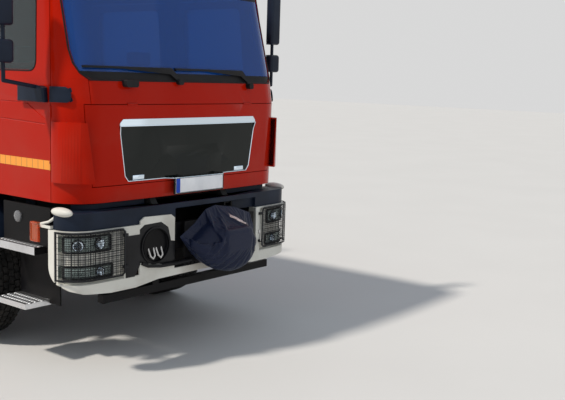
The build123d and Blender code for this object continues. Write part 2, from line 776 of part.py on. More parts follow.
def wheel_disc(x, face_x, sign):
    """A disc with hand holes near the barrel at x, dished to the hub's face at face_x."""
    t = 12
    inner = rim_radius - rim_wall + 1
    profile = [(x, inner), (x + t * sign, inner), (x + t * sign, 196), (face_x + t * sign, 168), (face_x + t * sign, 60),
               (face_x, 60), (face_x, 160), (x, 188)]
    disc = revolve(make_face(Polyline(*profile, close=True)), Axis.X)
    for k in range(hand_holes):
        angle = math.radians(360 * k / hand_holes)
        y, z = hand_hole_ring * math.cos(angle), hand_hole_ring * math.sin(angle)
        disc -= cylinder_x(min(x, face_x) - 20, max(x, face_x) + 40, y, z, hand_hole_radius)
    return disc


def hub(x0, x1, radius):
    bar = cylinder_x(x0, x1, 0, 0, radius)
    return bar - cylinder_x(x0 - 1, x1 + 1, 0, 0, spindle_radius + running_gap)


def make_rim_front():
    """A left front wheel about its own centre: its disc stands out to the hub cap."""
    rim = rim_barrel(0)
    rim += wheel_disc(20, 78, 1)
    rim += hub(-30, 120, 105)
    rim += cylinder_x(121, 150, 0, 0, 95) + hub(119, 122, 95)
    return rim


def make_rim_rear():
    """A left twin wheel about the middle of the pair: both discs meet at the drum."""
    half = twin_pitch / 2
    rim = rim_barrel(-half) + rim_barrel(half)
    rim += wheel_disc(half - 40, half - 128, 1)
    rim += wheel_disc(-half + 20, -half + 104, 1)
    rim += hub(-half - 60, half - 20, 130)
    rim += cylinder_x(half + 31, half + 60, 0, 0, 95) + hub(half - 21, half + 32, 95)
    return rim


def make_tyre():
    """A tyre about its own centre, with flat tread, round shoulders and bulged walls."""
    w = tyre_width / 2
    bead = rim_width / 2 - 9
    r0 = rim_radius + running_gap
    r1 = tyre_radius
    half = [(bead, r0), (bead, r0 + 15), (w, r0 + 96), (w - 4, r1 - 44), (w - 34, r1)]
    profile = half + [(-x, r) for x, r in reversed(half)]
    return revolve(make_face(Polyline(*profile, close=True)), Axis.X)


def make_mudguards():
    """Round front mudguards on stays from the rails."""
    radius = 640
    y, z = front_axle_y, axle_z
    band = cylinder_x(800, 1150, y, z, radius + 6) - cylinder_x(790, 1160, y, z, radius)
    keep = prism_x([(y, z), (y - 1100, z + 640), (y - 1100, z + 900), (y + 1100, z + 900), (y + 1100, z + 130)],
                   700, 1300)
    band &= keep
    stay = cylinder_x(rail_x + 10, 1130, y, z + radius - 12, 20)
    stay += block(rail_x, rail_x + 14, y - 60, y + 60, rail_top_z - 200, z + radius + 8)
    return both(band + stay)


def make_entry_steps():
    """The steps under each front door and each crew door, with their dark skirts."""
    parts = []
    for y0, y1 in ((300, 850), (2080, 2660)):
        beam_y = (y0 + y1) / 2
        step = block(1090, 1105, y0, y1, 880, 1160)
        step += block(950, 1182, y0 + 80, y1, 826, 881)
        step += block(950, 965, y0 + 80, y1, 420, 830)
        step += block(950, 1176, y0 + 200, y1, 410, 450)
        step += block(rail_x, 1095, beam_y - 30, beam_y + 30, 1016, 1056)
        parts.append(step)
    marker = block(1192, 1212, 300, 372, 935, 1075)
    marker += block(1150, 1195, 182, 340, 1040, 1062)
    marker += block(1092, 1160, 300, 340, 1040, 1062)
    front = parts[0] + marker
    return both(Compound(children=list(front.solids()) + list(parts[1].solids())))


def make_engine():
    body = block(-300, 300, 480, 1180, 760, 1150)
    body += block(-200, 200, 1180, 1900, 790, 1080)
    body += block(-rail_x + rail_thickness, rail_x - rail_thickness, 700, 780, 900, 960)
    body += block(-rail_x + rail_thickness, rail_x - rail_thickness, 1780, 1840, 900, 960)
    return body


def make_fuel_tank():
    tank = fillet(block(500, 900, 2150, 2800, 560, 1010).edges().filter_by(Axis.Y), 60)
    for y in (2260, 2640):
        tank += block(rail_x, 560, y, y + 50, 800, 900)
    return tank


def make_exhaust():
    box = fillet(block(-900, -500, 2150, 2800, 620, 1010).edges().filter_by(Axis.Y), 60)
    for y in (2260, 2640):
        box += block(-560, -rail_x, y, y + 50, 800, 900)
    box += rod((-700, 2800, 700), (-700, 2890, 700), 55)
    return box


def make_propshafts():
    """The transfer box and the shafts to both axles."""
    box = block(-rail_x + rail_thickness, rail_x - rail_thickness, 2700, 2760, 880, 940)
    box += block(-180, 180, 2560, 2940, 640, 960)
    box += rod((0, 2930, 690), (0, rear_axle_y - 266, axle_z + 32), 48)
    box += rod((0, 1901, 850), (0, 2565, 850), 45)
    box += rod((0, front_axle_y + 268, axle_z + 34), (0, 2575, 690), 42)
    return box


def side_openings():
    """Left side shutter openings: front edge, rear edge and foot."""
    post = 50
    return [
        (body_front_y + 60, body_front_y + 990, body_base_z + 50),
        (body_front_y + 990 + post, arch_front_y - 40, body_base_z + 50),
        (arch_front_y + 20, arch_rear_y - 20, 1330),
        (arch_rear_y + 30, body_rear_y - 60, body_rear_base_z + 50),
    ]


rear_opening = (-860, 860, 1010, shutter_top_z)


def make_body_shell():
    """The hollow equipment body on its subframe, with its arches and shutter openings."""
    w, t = body_half_width, body_wall
    y0, y1 = body_front_y, body_rear_y
    shell = block(-w, w, y0, y1, body_floor_z, body_roof_z)
    shell = fillet(shell.edges().filter_by(Axis.Z), 35)
    inner = block(-w + t, w - t, y0 + t, y1 - t, body_floor_z + t, body_roof_z - t)
    for side in (-1, 1):
        a, b = sorted((side * locker_inner_x, side * w))
        shell += block(a, b, y0, arch_front_y, body_base_z, body_floor_z + 5)
        shell += block(a, b, arch_rear_y, y1, body_rear_base_z, body_floor_z + 5)
        inner += block(a + t, b - t, y0 + t, arch_front_y - t, body_base_z + t, body_floor_z + 50)
        inner += block(a + t, b - t, arch_rear_y + t, y1 - t, body_rear_base_z + t, body_floor_z + 50)
        c, d = sorted((side * (w - t), side * w))
        skirt = block(c, d, arch_front_y, arch_rear_y, body_rear_base_z, body_floor_z + 5)
        skirt -= cylinder_x(c - 1, d + 1, rear_axle_y, axle_z, arch_radius)
        shell += skirt
    shell -= inner
    for front, rear, foot in side_openings():
        opening = block(w - t - 5, w + 5, front, rear, foot, shutter_top_z)
        shell -= opening
        shell -= mirrored(opening)
    shell -= block(rear_opening[0], rear_opening[1], y1 - t - 5, y1 + 5, rear_opening[2], rear_opening[3])
    for x in (-rail_x, rail_x - rail_flange):
        shell += block(x, x + rail_flange, y0 + 20, y1 - 100, rail_top_z, body_floor_z + 5)
    shell += cylinder_z(mast_x, mast_y, body_floor_z + 5, body_roof_z + 40, mast_radius + 20)
    shell -= cylinder_z(mast_x, mast_y, body_floor_z + t, body_roof_z + 41, mast_radius + 0.5)
    shell += cylinder_z(0, monitor_y, body_roof_z - 5, body_roof_z + 60, 130)
    return shell


def slatted(low, high):
    """A shutter curtain's section: level slats with a groove between each two."""
    count = max(2, round((high - low) / slat_pitch))
    pitch = (high - low) / count
    points = [(-12, low), (0, low)]
    for k in range(count):
        z = low + k * pitch
        points += [(0, z + pitch - 10), (-5, z + pitch - 5)]
        if k < count - 1:
            points.append((0, z + pitch))
    points += [(-12, high)]
    return points


def make_shutters():
    """Closed roller shutters in every opening, as fixed curtains."""
    solids = []
    face = body_half_width - shutter_recess
    for front, rear, foot in side_openings():
        points = [(face + d, z) for d, z in slatted(foot, shutter_top_z)]
        curtain = prism_y(points, front, rear)
        solids += list(curtain.solids()) + list(mirrored(curtain).solids())
    x0, x1, low, high = rear_opening
    points = [(body_rear_y - shutter_recess + d, z) for d, z in slatted(low, high)]
    solids += list(prism_x(points, x0, x1).solids())
    return Compound(children=solids)


def make_roof_rails():
    """Low tube rails along both roof edges."""
    x = body_half_width - 45
    y0, y1 = body_front_y + 1700, body_rear_y - 60
    z = body_roof_z
    rail = rod((x, y0, z + 130), (x, y1, z + 130), 16)
    count = 5
    for k in range(count):
        y = y0 + 20 + (y1 - y0 - 40) * k / (count - 1)
        rail += cylinder_z(x, y, z, z + 130, 14)
    return both(rail)


def make_roof_ladder():
    """A two-part ladder that lies on cross bearers on the roof."""
    z = body_roof_z
    y0, y1 = body_front_y + 1750, body_rear_y - 120
    ladder = None
    for x in (-820, -400):
        stile = block(x, x + 30, y0, y1, z + 60, z + 130)
        ladder = stile if ladder is None else ladder + stile
    count = 11
    for k in range(count):
        y = y0 + 90 + (y1 - y0 - 180) * k / (count - 1)
        ladder += cylinder_x(-800, -390, y, z + 95, 15)
    for y in (y0 + 300, y1 - 360):
        ladder += block(-860, -330, y, y + 60, z, z + 62)
    return ladder


def make_rear_ladder():
    """The fixed ladder on the right of the rear face, bent over onto the roof."""
    y = body_rear_y + 70
    top = body_roof_z + 76
    ladder = cylinder_x(-1210, -900, y, 1020, 14)
    for k in range(1, 7):
        ladder += cylinder_x(-1210, -900, y, 1020 + k * 290, 14)
    for x in (-1210, -900):
        ladder += rod((x, y, 940), (x, y, top), 17)
        ladder += Pos(x, y, top) * Sphere(17)
        ladder += rod((x, y, top), (x, body_rear_y - 40, top), 17)
        for z in (1012, 2850):
            ladder += rod((x, body_rear_y, z), (x, y, z), 13)
        ladder += cylinder_z(x, body_rear_y - 25, body_roof_z, top, 14)
    return ladder


def make_rear_lamps():
    """The rear lamp clusters and the two high beacons."""
    cluster = block(930, 1220, body_rear_y, body_rear_y + 45, 850, 980)
    beacon = block(1000, 1200, body_rear_y, body_rear_y + 60, 2885, 2980)
    solids = list(cluster.solids()) + list(mirrored(cluster).solids()) + list(beacon.solids())
    solids += list(block(-850, -680, body_rear_y, body_rear_y + 60, 2885, 2980).solids())
    return Compound(children=solids)


def make_tow_hitch():
    """The towing jaw in the front bumper and the coupling at the rear."""
    dome = cylinder_jaw(jaw_radius - 20, -62, -36) & block(-600, -200, -100, 100, 748, 1000)
    dome += block(-rail_x, -rail_x + rail_flange, -40, rail_front_y, 800, 940)
    rear = block(-130, 130, rail_rear_y, rail_rear_y + 40, 820, 1030)
    eye_y = tow_end_y - coupling_radius
    rear += cylinder_z(0, eye_y, 850, 1000, coupling_radius) + block(-50, 50, rail_rear_y + 30, eye_y - 30, 860, 990)
    rear -= cylinder_z(0, eye_y, 840, 1010, coupling_bore)
    return Compound(children=list(dome.solids()) + list(rear.solids()))


def make_mast_stage(radius, low, high, top):
    """One tube of the mast, closed at its foot and, where top is above 0, at its head."""
    stage = cylinder_z(mast_x, mast_y, low, high, radius)
    stage -= cylinder_z(mast_x, mast_y, low + mast_wall, high - top, radius - mast_wall)
    return stage


def make_mast_head():
    """The mast's crossbar with four floodlights on a turning hub."""
    z = body_roof_z + 62
    head = cylinder_z(mast_x, mast_y, z, z + 40, 45)
    head += block(mast_x - 330, mast_x + 240, mast_y - 22, mast_y + 22, z + 30, z + 62)
    for x in (mast_x - 320, mast_x - 180, mast_x + 20, mast_x + 100):
        head += block(x, x + 120, mast_y - 70, mast_y + 40, z + 62, z + 160)
    return head


def make_monitor_swivel():
    z = body_roof_z + 60 + running_gap
    swivel = cylinder_z(0, monitor_y, z, z + 40, 105)
    swivel += cylinder_z(0, monitor_y, z + 40, z + 60, 60)
    for x in (-78, 58):
        swivel += block(x, x + 20, monitor_y - 40, monitor_y + 40, z + 30, z + 150)
    swivel += cylinder_x(-78, 78, monitor_y, z + 120, 12)
    return swivel


def make_monitor_barrel():
    z = body_roof_z + 60 + running_gap + 120
    y = monitor_y
    barrel = cylinder_x(-52, 52, y, z, 34)
    barrel += rod((0, y + 34, z), (0, y - 420, z), 36)
    barrel += rod((0, y - 420, z), (0, y - monitor_reach, z), 46)
    return barrel - cylinder_x(-53, 53, y, z, 12 + running_gap)


def wheel_at(shape, x, y):
    return Pos(x, y, axle_z) * shape


def split_mirror(name, shape):
    """The left piece and its mirror image on the right, under two names."""
    return {name + "_left": shape, name + "_right": mirrored(shape)}


def build():
    parts = {}
    parts["frame_rails"] = make_frame_rails()
    parts["front_bumper"] = make_front_bumper()
    parts["bumper_step"] = make_bumper_step()
    parts["headlamps"] = make_headlamps()
    parts["lamp_guards"] = make_lamp_guards()
    parts["winch"] = make_winch()
    parts["winch_cover"] = make_winch_cover()
    parts["tow_hitch"] = make_tow_hitch()
    parts["entry_steps"] = make_entry_steps()
    parts["mudguards"] = make_mudguards()
    parts["engine"] = make_engine()
    parts["fuel_tank"] = make_fuel_tank()
    parts["exhaust"] = make_exhaust()
    parts["front_axle"] = make_front_axle()
    parts["rear_axle"] = make_rear_axle()
    parts["propshafts"] = make_propshafts()
    parts["body_shell"] = make_body_shell()
    parts["shutters"] = make_shutters()
    parts["roof_rails"] = make_roof_rails()
    parts["roof_ladder"] = make_roof_ladder()
    parts["rear_ladder"] = make_rear_ladder()
    parts["rear_lamps"] = make_rear_lamps()
    parts["mast_stage_one"] = make_mast_stage(mast_radius, body_floor_z + 60, body_roof_z + 50, 0)
    inner_radius = mast_radius - mast_wall - 0.5
    parts["mast_stage_two"] = make_mast_stage(inner_radius, body_floor_z + 90, body_roof_z + 61.7, 20)
    parts["mast_head"] = make_mast_head()
    parts["monitor_swivel"] = make_monitor_swivel()
    parts["monitor_barrel"] = make_monitor_barrel()
    parts["cab_floor"] = make_cab_floor()
    parts["cab_roof"] = make_roof()
    parts["cab_side_frames"] = both(make_side_frame())
    parts["cab_front"] = make_cab_front()
    parts["cab_rear_wall"] = make_rear_wall()
    parts["windscreen"] = make_windscreen()
    parts["light_bar"] = make_light_bar()
    parts["wipers"] = make_wipers()
    parts["seats"] = make_seats()
    parts["dashboard"] = make_dashboard()
    parts["front_flap"] = make_front_flap()
    parts["grille"] = make_grille()
    parts["grille_strip"] = make_grille_strip()
    front_door = make_door(front_door_outline(0), front_window, front_door_y, front_door_end_y)
    front_door -= press_line([(332, 1782), (534, 1882), (front_door_end_y + 10, 1882)])
    front_door -= press_line([(332, 1742), (front_door_end_y + 10, 1770)])
    parts.update(split_mirror("door_front", front_door))
    parts.update(split_mirror("glass_front", make_window(front_window)))
    crew = make_door(crew_door_outline(0), crew_window, crew_door_y, crew_door_end_y)
    parts.update(split_mirror("door_crew", crew))
    parts.update(split_mirror("glass_crew", make_window(crew_window)))
    parts.update(split_mirror("mirror", make_mirror()))
    parts.update(split_mirror("knuckle", make_knuckle()))
    tyre = make_tyre()
    rim_front = wheel_at(make_rim_front(), front_track / 2, front_axle_y)
    parts.update(split_mirror("rim_front", rim_front))
    parts.update(split_mirror("tyre_front", wheel_at(tyre, front_track / 2, front_axle_y)))
    parts.update(split_mirror("rim_rear", wheel_at(make_rim_rear(), rear_track / 2, rear_axle_y)))
    pair = Pos(-twin_pitch / 2, 0, 0) * tyre + Pos(twin_pitch / 2, 0, 0) * tyre
    parts.update(split_mirror("tyre_rear", wheel_at(pair, rear_track / 2, rear_axle_y)))
    return parts


def write(parts):
    os.makedirs("parts", exist_ok=True)
    for name, shape in parts.items():
        export_step(Pos(0, -mid_y, 0) * shape, "parts/" + name + ".step")


write(build())
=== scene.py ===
"""A crew-cab fire engine: finishes, lamps, cloth, glass, tyres and small fittings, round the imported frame."""

import json
import math

import bmesh
import bpy
from mathutils import Matrix, Vector
from mathutils.bvhtree import BVHTree


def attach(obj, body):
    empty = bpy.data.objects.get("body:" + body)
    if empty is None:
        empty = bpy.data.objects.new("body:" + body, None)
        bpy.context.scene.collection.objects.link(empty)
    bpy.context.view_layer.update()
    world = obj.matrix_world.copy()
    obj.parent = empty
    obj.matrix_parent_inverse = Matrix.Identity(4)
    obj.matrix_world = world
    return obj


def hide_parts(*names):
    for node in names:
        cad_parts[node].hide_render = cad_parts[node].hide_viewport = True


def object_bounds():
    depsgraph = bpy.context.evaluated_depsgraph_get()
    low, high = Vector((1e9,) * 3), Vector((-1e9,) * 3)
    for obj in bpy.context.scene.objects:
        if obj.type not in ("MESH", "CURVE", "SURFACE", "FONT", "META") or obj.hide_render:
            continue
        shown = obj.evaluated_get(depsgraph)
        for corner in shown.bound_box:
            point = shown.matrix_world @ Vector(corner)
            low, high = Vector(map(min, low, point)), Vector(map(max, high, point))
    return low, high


bl_info = {
    "name": "Fire engine",
    "version": (1, 0, 0),
    "blender": (4, 5, 0),
    "location": "3D View > Sidebar > Fire engine",
    "description": "Dresses the frame of a crew-cab fire engine",
    "category": "Object",
}

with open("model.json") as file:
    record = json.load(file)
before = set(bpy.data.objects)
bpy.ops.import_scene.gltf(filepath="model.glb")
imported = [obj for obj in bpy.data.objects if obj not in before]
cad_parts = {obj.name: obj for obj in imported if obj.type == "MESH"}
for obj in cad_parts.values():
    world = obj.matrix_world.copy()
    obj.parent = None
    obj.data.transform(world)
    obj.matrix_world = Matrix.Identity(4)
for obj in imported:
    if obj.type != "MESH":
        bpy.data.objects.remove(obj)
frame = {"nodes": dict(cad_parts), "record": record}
cad_low, cad_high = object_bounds()

# The cab's front face lies this far behind the foremost point of the winch cover
COVER_REACH = 0.330
CAB_FACE = cad_low[1] + COVER_REACH
CAB_HALF = 1.120
RED = (0.46, 0.011, 0.002)
SIDES = (("left", 1), ("right", -1))


def at(x, s, z):
    """A point given as metres to the left, metres behind the cab's face and metres up."""
    return Vector((x, CAB_FACE + s, z))


def on_side(side, place):
    """A point given for the left side, on the side asked for."""
    return at(side * place[0], place[1], place[2])


# Finishes


def new_finish(name, colour, roughness, metallic=0.0):
    material = bpy.data.materials.new(name)
    material.use_nodes = True
    shader = material.node_tree.nodes["Principled BSDF"]
    shader.inputs["Base Color"].default_value = (*colour, 1.0)
    shader.inputs["Roughness"].default_value = roughness
    shader.inputs["Metallic"].default_value = metallic
    return material, shader


def object_coordinates(material, scale=(1, 1, 1)):
    nodes, links = material.node_tree.nodes, material.node_tree.links
    source = nodes.new("ShaderNodeTexCoord")
    mapping = nodes.new("ShaderNodeMapping")
    mapping.inputs["Scale"].default_value = scale
    links.new(source.outputs["Object"], mapping.inputs["Vector"])
    return mapping.outputs["Vector"]


def noise(material, scale, detail=4.0, stretch=(1, 1, 1)):
    nodes, links = material.node_tree.nodes, material.node_tree.links
    texture = nodes.new("ShaderNodeTexNoise")
    texture.inputs["Scale"].default_value = scale
    texture.inputs["Detail"].default_value = detail
    links.new(object_coordinates(material, stretch), texture.inputs["Vector"])
    return texture.outputs["Fac"]


def blotches(material, scale, low, high, detail=8.0):
    """Soft blotches, as of dust: 0 between them and 1 inside."""
    node = material.node_tree.nodes.new("ShaderNodeValToRGB")
    node.color_ramp.elements[0].position = low
    node.color_ramp.elements[1].position = high
    link(material, noise(material, scale, detail), node.inputs["Fac"])
    return node.outputs["Color"]


def blend_colours(material, factor, first, second):
    """Mixes two colours, each a fixed one or an output, by a factor output."""
    nodes, links = material.node_tree.nodes, material.node_tree.links
    node = nodes.new("ShaderNodeMix")
    node.data_type = "RGBA"
    links.new(factor, node.inputs["Factor"])
    for socket, value in (("A", first), ("B", second)):
        target = [i for i in node.inputs if i.name == socket and i.type == "RGBA"][0]
        if isinstance(value, (tuple, list)):
            target.default_value = (*value, 1.0)
        else:
            links.new(value, target)
    return [o for o in node.outputs if o.type == "RGBA"][0]


def number(material, operation, first, second=0.0, third=0.0):
    nodes, links = material.node_tree.nodes, material.node_tree.links
    node = nodes.new("ShaderNodeMath")
    node.operation = operation
    for index, value in enumerate((first, second, third)):
        if isinstance(value, (int, float)):
            node.inputs[index].default_value = value
        else:
            links.new(value, node.inputs[index])
    return node.outputs[0]


def axis_value(material, axis):
    nodes, links = material.node_tree.nodes, material.node_tree.links
    split = nodes.new("ShaderNodeSeparateXYZ")
    links.new(object_coordinates(material), split.inputs[0])
    return split.outputs[axis]


def bump(material, shader, height, strength, distance):
    nodes, links = material.node_tree.nodes, material.node_tree.links
    node = nodes.new("ShaderNodeBump")
    node.inputs["Strength"].default_value = strength
    node.inputs["Distance"].default_value = distance
    links.new(height, node.inputs["Height"])
    links.new(node.outputs["Normal"], shader.inputs["Normal"])


def link(material, value, socket):
    material.node_tree.links.new(value, socket)


def height_fade(material, low, high):
    """1 at the low height, 0 at the high one."""
    z = axis_value(material, "Z")
    fade = number(material, "SUBTRACT", high, z)
    fade = number(material, "DIVIDE", fade, high - low)
    return number(material, "MINIMUM", number(material, "MAXIMUM", fade, 0.0), 1.0)


ROAD_FILM = (0.23, 0.17, 0.12)


def gloss_paint(name, colour, dust, roughness=0.16):
    """Coach paint: a clear coat, slight waviness and road film that thickens downwards."""
    material, shader = new_finish(name, colour, roughness)
    shader.inputs["Specular IOR Level"].default_value = 0.2
    shader.inputs["Specular Tint"].default_value = (*(0.12 + 0.88 * c for c in colour), 1.0)
    shader.inputs["Coat Weight"].default_value = 0.06
    shader.inputs["Coat Roughness"].default_value = 0.05
    low = number(material, "MULTIPLY", blotches(material, 3.0, 0.42, 0.72), height_fade(material, 0.7, 2.3))
    film_amount = number(material, "MULTIPLY", low, dust)
    darker = tuple(c * 0.82 for c in colour)
    base = blend_colours(material, noise(material, 1.1, 3.0), colour, darker)
    link(material, blend_colours(material, film_amount, base, ROAD_FILM), shader.inputs["Base Color"])
    rough = number(material, "MULTIPLY_ADD", film_amount, 0.6, roughness)
    link(material, rough, shader.inputs["Roughness"])
    bump(material, shader, noise(material, 220.0, 2.0), 0.04, 0.002)
    return material


def satin_plastic(name, colour, roughness=0.5, grain=900.0):
    """Moulded plastic with a fine pebble grain and a little dust."""
    material, shader = new_finish(name, colour, roughness)
    shader.inputs["Specular IOR Level"].default_value = 0.18
    dusty = tuple(min(1.0, c * 1.7 + 0.002) for c in colour)
    shade = blotches(material, 5.0, 0.4, 0.8, 6.0)
    link(material, blend_colours(material, shade, colour, dusty), shader.inputs["Base Color"])
    bump(material, shader, noise(material, grain, 2.0), 0.18, 0.0006)
    return material


DULL_METAL = (0.2, 0.18, 0.15)


def bare_metal(name, colour, roughness, brushed=(1, 1, 1), grime=0.25):
    """Bare or anodised metal with brushed streaks and dull patches."""
    material, shader = new_finish(name, colour, roughness, 1.0)
    streaks = noise(material, 60.0, 3.0, brushed)
    rough = number(material, "MULTIPLY_ADD", streaks, 0.25, roughness - 0.1)
    link(material, rough, shader.inputs["Roughness"])
    amount = number(material, "MULTIPLY", blotches(material, 6.0, 0.45, 0.75), grime)
    link(material, blend_colours(material, amount, colour, DULL_METAL), shader.inputs["Base Color"])
    bump(material, shader, streaks, 0.05, 0.0006)
    return material


def bright_trim():
    """Polished bright metal."""
    material, shader = new_finish("bright_trim", (0.72, 0.83, 0.93), 0.06, 1.0)
    rough = number(material, "MULTIPLY_ADD", noise(material, 14.0), 0.1, 0.02)
    link(material, rough, shader.inputs["Roughness"])
    return material


def grille_black():
    """Glossy black panel with faint wipe marks."""
    material, shader = new_finish("grille_black", (0.005, 0.008, 0.007), 0.08)
    shader.inputs["Specular IOR Level"].default_value = 0.2
    shader.inputs["Coat Weight"].default_value = 0.08
    rough = number(material, "MULTIPLY_ADD", noise(material, 9.0, 6.0), 0.16, 0.02)
    link(material, rough, shader.inputs["Roughness"])
    bump(material, shader, noise(material, 30.0, 2.0), 0.02, 0.002)
    return material


def dusted(material, shader, colour, dust, amount):
    """Lays dust of another colour over a base, by an amount output."""
    link(material, blend_colours(material, amount, colour, dust), shader.inputs["Base Color"])


def chassis_black():
    """Satin chassis paint with dust lying on it."""
    black = (0.004, 0.004, 0.005)
    material, shader = new_finish("chassis_black", black, 0.5)
    shader.inputs["Specular IOR Level"].default_value = 0.12
    amount = number(material, "MULTIPLY", blotches(material, 7.0, 0.4, 0.75), 0.4)
    dusted(material, shader, black, (0.020, 0.018, 0.016), amount)
    link(material, number(material, "MULTIPLY_ADD", amount, 0.6, 0.4), shader.inputs["Roughness"])
    bump(material, shader, noise(material, 160.0, 3.0), 0.1, 0.001)
    return material


def tyre_rubber():
    """Black rubber, greyed with dust in patches."""
    black = (0.009, 0.009, 0.009)
    material, shader = new_finish("tyre_rubber", black, 0.75)
    shader.inputs["Specular IOR Level"].default_value = 0.2
    amount = number(material, "MULTIPLY", blotches(material, 12.0, 0.35, 0.8), 0.6)
    dusted(material, shader, black, (0.045, 0.040, 0.036), amount)
    bump(material, shader, noise(material, 240.0, 4.0), 0.2, 0.001)
    return material


def ribs(material, scale, distortion=0.0):
    """Straight ribs or threads at an even pitch."""
    wave = material.node_tree.nodes.new("ShaderNodeTexWave")
    wave.inputs["Scale"].default_value = scale
    wave.inputs["Distortion"].default_value = distortion
    link(material, object_coordinates(material), wave.inputs["Vector"])
    return wave.outputs["Fac"]


def lamp_reflector():
    """Ribbed bright reflector behind clear plastic."""
    material, shader = new_finish("reflector", (0.26, 0.33, 0.32), 0.2, 0.85)
    shader.inputs["Coat Weight"].default_value = 0.8
    bump(material, shader, ribs(material, 55.0), 0.5, 0.002)
    return material


def diagonal_bars(material, sign, pitch):
    """A sine wave across one diagonal of the floor, with its length in metres."""
    across = number(material, "MULTIPLY", axis_value(material, "Y"), sign)
    total = number(material, "ADD", axis_value(material, "X"), across)
    return number(material, "SINE", number(material, "MULTIPLY", total, math.tau / pitch))


def chequer_plate(pitch=0.045):
    """Aluminium floor plate with raised bars that cross."""
    material, shader = new_finish("roof_plate", (0.62, 0.63, 0.65), 0.38, 1.0)
    one, two = (diagonal_bars(material, sign, pitch) for sign in (1.0, -1.0))
    raised = number(material, "MAXIMUM", one, two)
    bump(material, shader, number(material, "GREATER_THAN", raised, 0.72), 0.5, 0.003)
    worn = number(material, "MULTIPLY_ADD", noise(material, 6.0, 6.0), 0.3, 0.25)
    link(material, worn, shader.inputs["Roughness"])
    return material


def tinted_glass(name, colour, weight=0.92):
    """Clear or coloured glass with faint smears; weight is how much light goes through."""
    material, shader = new_finish(name, colour, 0.03)
    shader.inputs["Transmission Weight"].default_value = weight
    shader.inputs["IOR"].default_value = 1.4
    shader.inputs["Specular IOR Level"].default_value = 0.22
    smears = number(material, "MULTIPLY_ADD", noise(material, 2.5, 8.0), 0.03, 0.0)
    link(material, smears, shader.inputs["Roughness"])
    return material


def lens(name, colour, weight=0.7):
    """A ribbed lamp lens."""
    material, shader = new_finish(name, colour, 0.08)
    shader.inputs["Transmission Weight"].default_value = weight
    shader.inputs["Coat Weight"].default_value = 0.5
    bump(material, shader, ribs(material, 38.0), 0.3, 0.002)
    return material


def woven_cloth(name, colour, roughness=0.9, weave=700.0):
    """Cloth with its threads, a little lighter in patches."""
    material, shader = new_finish(name, colour, roughness)
    shader.inputs["Specular IOR Level"].default_value = 0.2
    shader.inputs["Sheen Weight"].default_value = 0.04
    lighter = tuple(c * 1.5 + 0.001 for c in colour)
    dusted(material, shader, colour, lighter, noise(material, 8.0, 8.0))
    bump(material, shader, ribs(material, weave, 0.6), 0.25, 0.0008)
    return material


def side_tape(pitch=0.064):
    """Orange marking tape in blocks, parted by thin seams."""
    material, shader = new_finish("side_tape", (0.95, 0.42, 0.03), 0.35)
    place = number(material, "FRACT", number(material, "DIVIDE", axis_value(material, "Y"), pitch))
    seam = number(material, "GREATER_THAN", place, 0.93)
    base = blend_colours(material, noise(material, 500.0, 1.0), (0.95, 0.42, 0.03), (0.8, 0.22, 0.01))
    link(material, blend_colours(material, seam, base, (0.35, 0.12, 0.03)), shader.inputs["Base Color"])
    shader.inputs["Coat Weight"].default_value = 0.3
    return material


def make_finishes():
    """Every finish by its name, without the number that Blender adds to a name in use."""
    made = [
        gloss_paint("fire_red", RED, 0.14),
        gloss_paint("cream_white", (0.76, 0.75, 0.68), 0.5, 0.25),
        gloss_paint("signal_red", (0.5, 0.012, 0.008), 0.1),
        satin_plastic("dark_plastic", (0.006, 0.011, 0.023), 0.42),
        satin_plastic("lamp_black", (0.01, 0.01, 0.011), 0.3),
        satin_plastic("guard_wire", (0.012, 0.013, 0.015), 0.35),
        satin_plastic("cast_grey", (0.09, 0.09, 0.09), 0.7, 120.0),
        satin_plastic("floor_rubber", (0.02, 0.02, 0.02), 0.8, 200.0),
        satin_plastic("seal_rubber", (0.008, 0.008, 0.009), 0.55, 400.0),
        satin_plastic("plate_white", (0.75, 0.76, 0.78), 0.35),
        satin_plastic("plate_blue", (0.01, 0.05, 0.35), 0.35),
        bare_metal("plain_metal", (0.5, 0.5, 0.5), 0.4),
        bare_metal("tread_metal", (0.75, 0.76, 0.78), 0.3),
        bare_metal("shutter_metal", (0.6, 0.62, 0.64), 0.38, (0.2, 0.2, 6.0), 0.08),
        bare_metal("tube_metal", (0.72, 0.73, 0.75), 0.28),
        bare_metal("wheel_silver", (0.62, 0.62, 0.6), 0.42, grime=0.5),
        bare_metal("strip_silver", (0.8, 0.7, 0.7), 0.4, grime=0.3),
        bare_metal("mirror_face", (0.8, 0.85, 0.9), 0.12, grime=0.0),
        tinted_glass("screen_glass", (0.006, 0.105, 0.46), 0.6),
        tinted_glass("side_glass", (0.25, 0.32, 0.34)),
        tinted_glass("lamp_glass", (0.95, 0.97, 1.0), 0.96),
        lens("red_lens", (0.55, 0.01, 0.008)),
        lens("amber_lens", (0.9, 0.16, 0.02)),
        lens("blue_lens", (0.01, 0.06, 0.75)),
        lens("clear_lens", (0.9, 0.92, 0.95), 0.85),
        woven_cloth("seat_cloth", (0.03, 0.032, 0.038)),
        woven_cloth("tarpaulin", (0.003, 0.007, 0.026), 0.33, 500.0),
        chassis_black(), bright_trim(), grille_black(), tyre_rubber(), side_tape(), lamp_reflector(),
        chequer_plate(),
    ]
    return {material.name.split(".")[0]: material for material in made}


FINISHES = {}


def finish_of(name):
    """The finish of that name; the first call makes them all."""
    if not FINISHES:
        FINISHES.update(make_finishes())
    return FINISHES[name]


# Making pieces


def piece_from(work, name, body, material, smooth=30.0):
    """Turns a bmesh into a finished piece that rides on a body."""
    mesh = bpy.data.meshes.new(name)
    work.to_mesh(mesh)
    work.free()
    shade(mesh, smooth)
    mesh.materials.append(finish_of(material))
    made = bpy.data.objects.new(name, mesh)
    bpy.context.scene.collection.objects.link(made)
    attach(made, body)
    return made


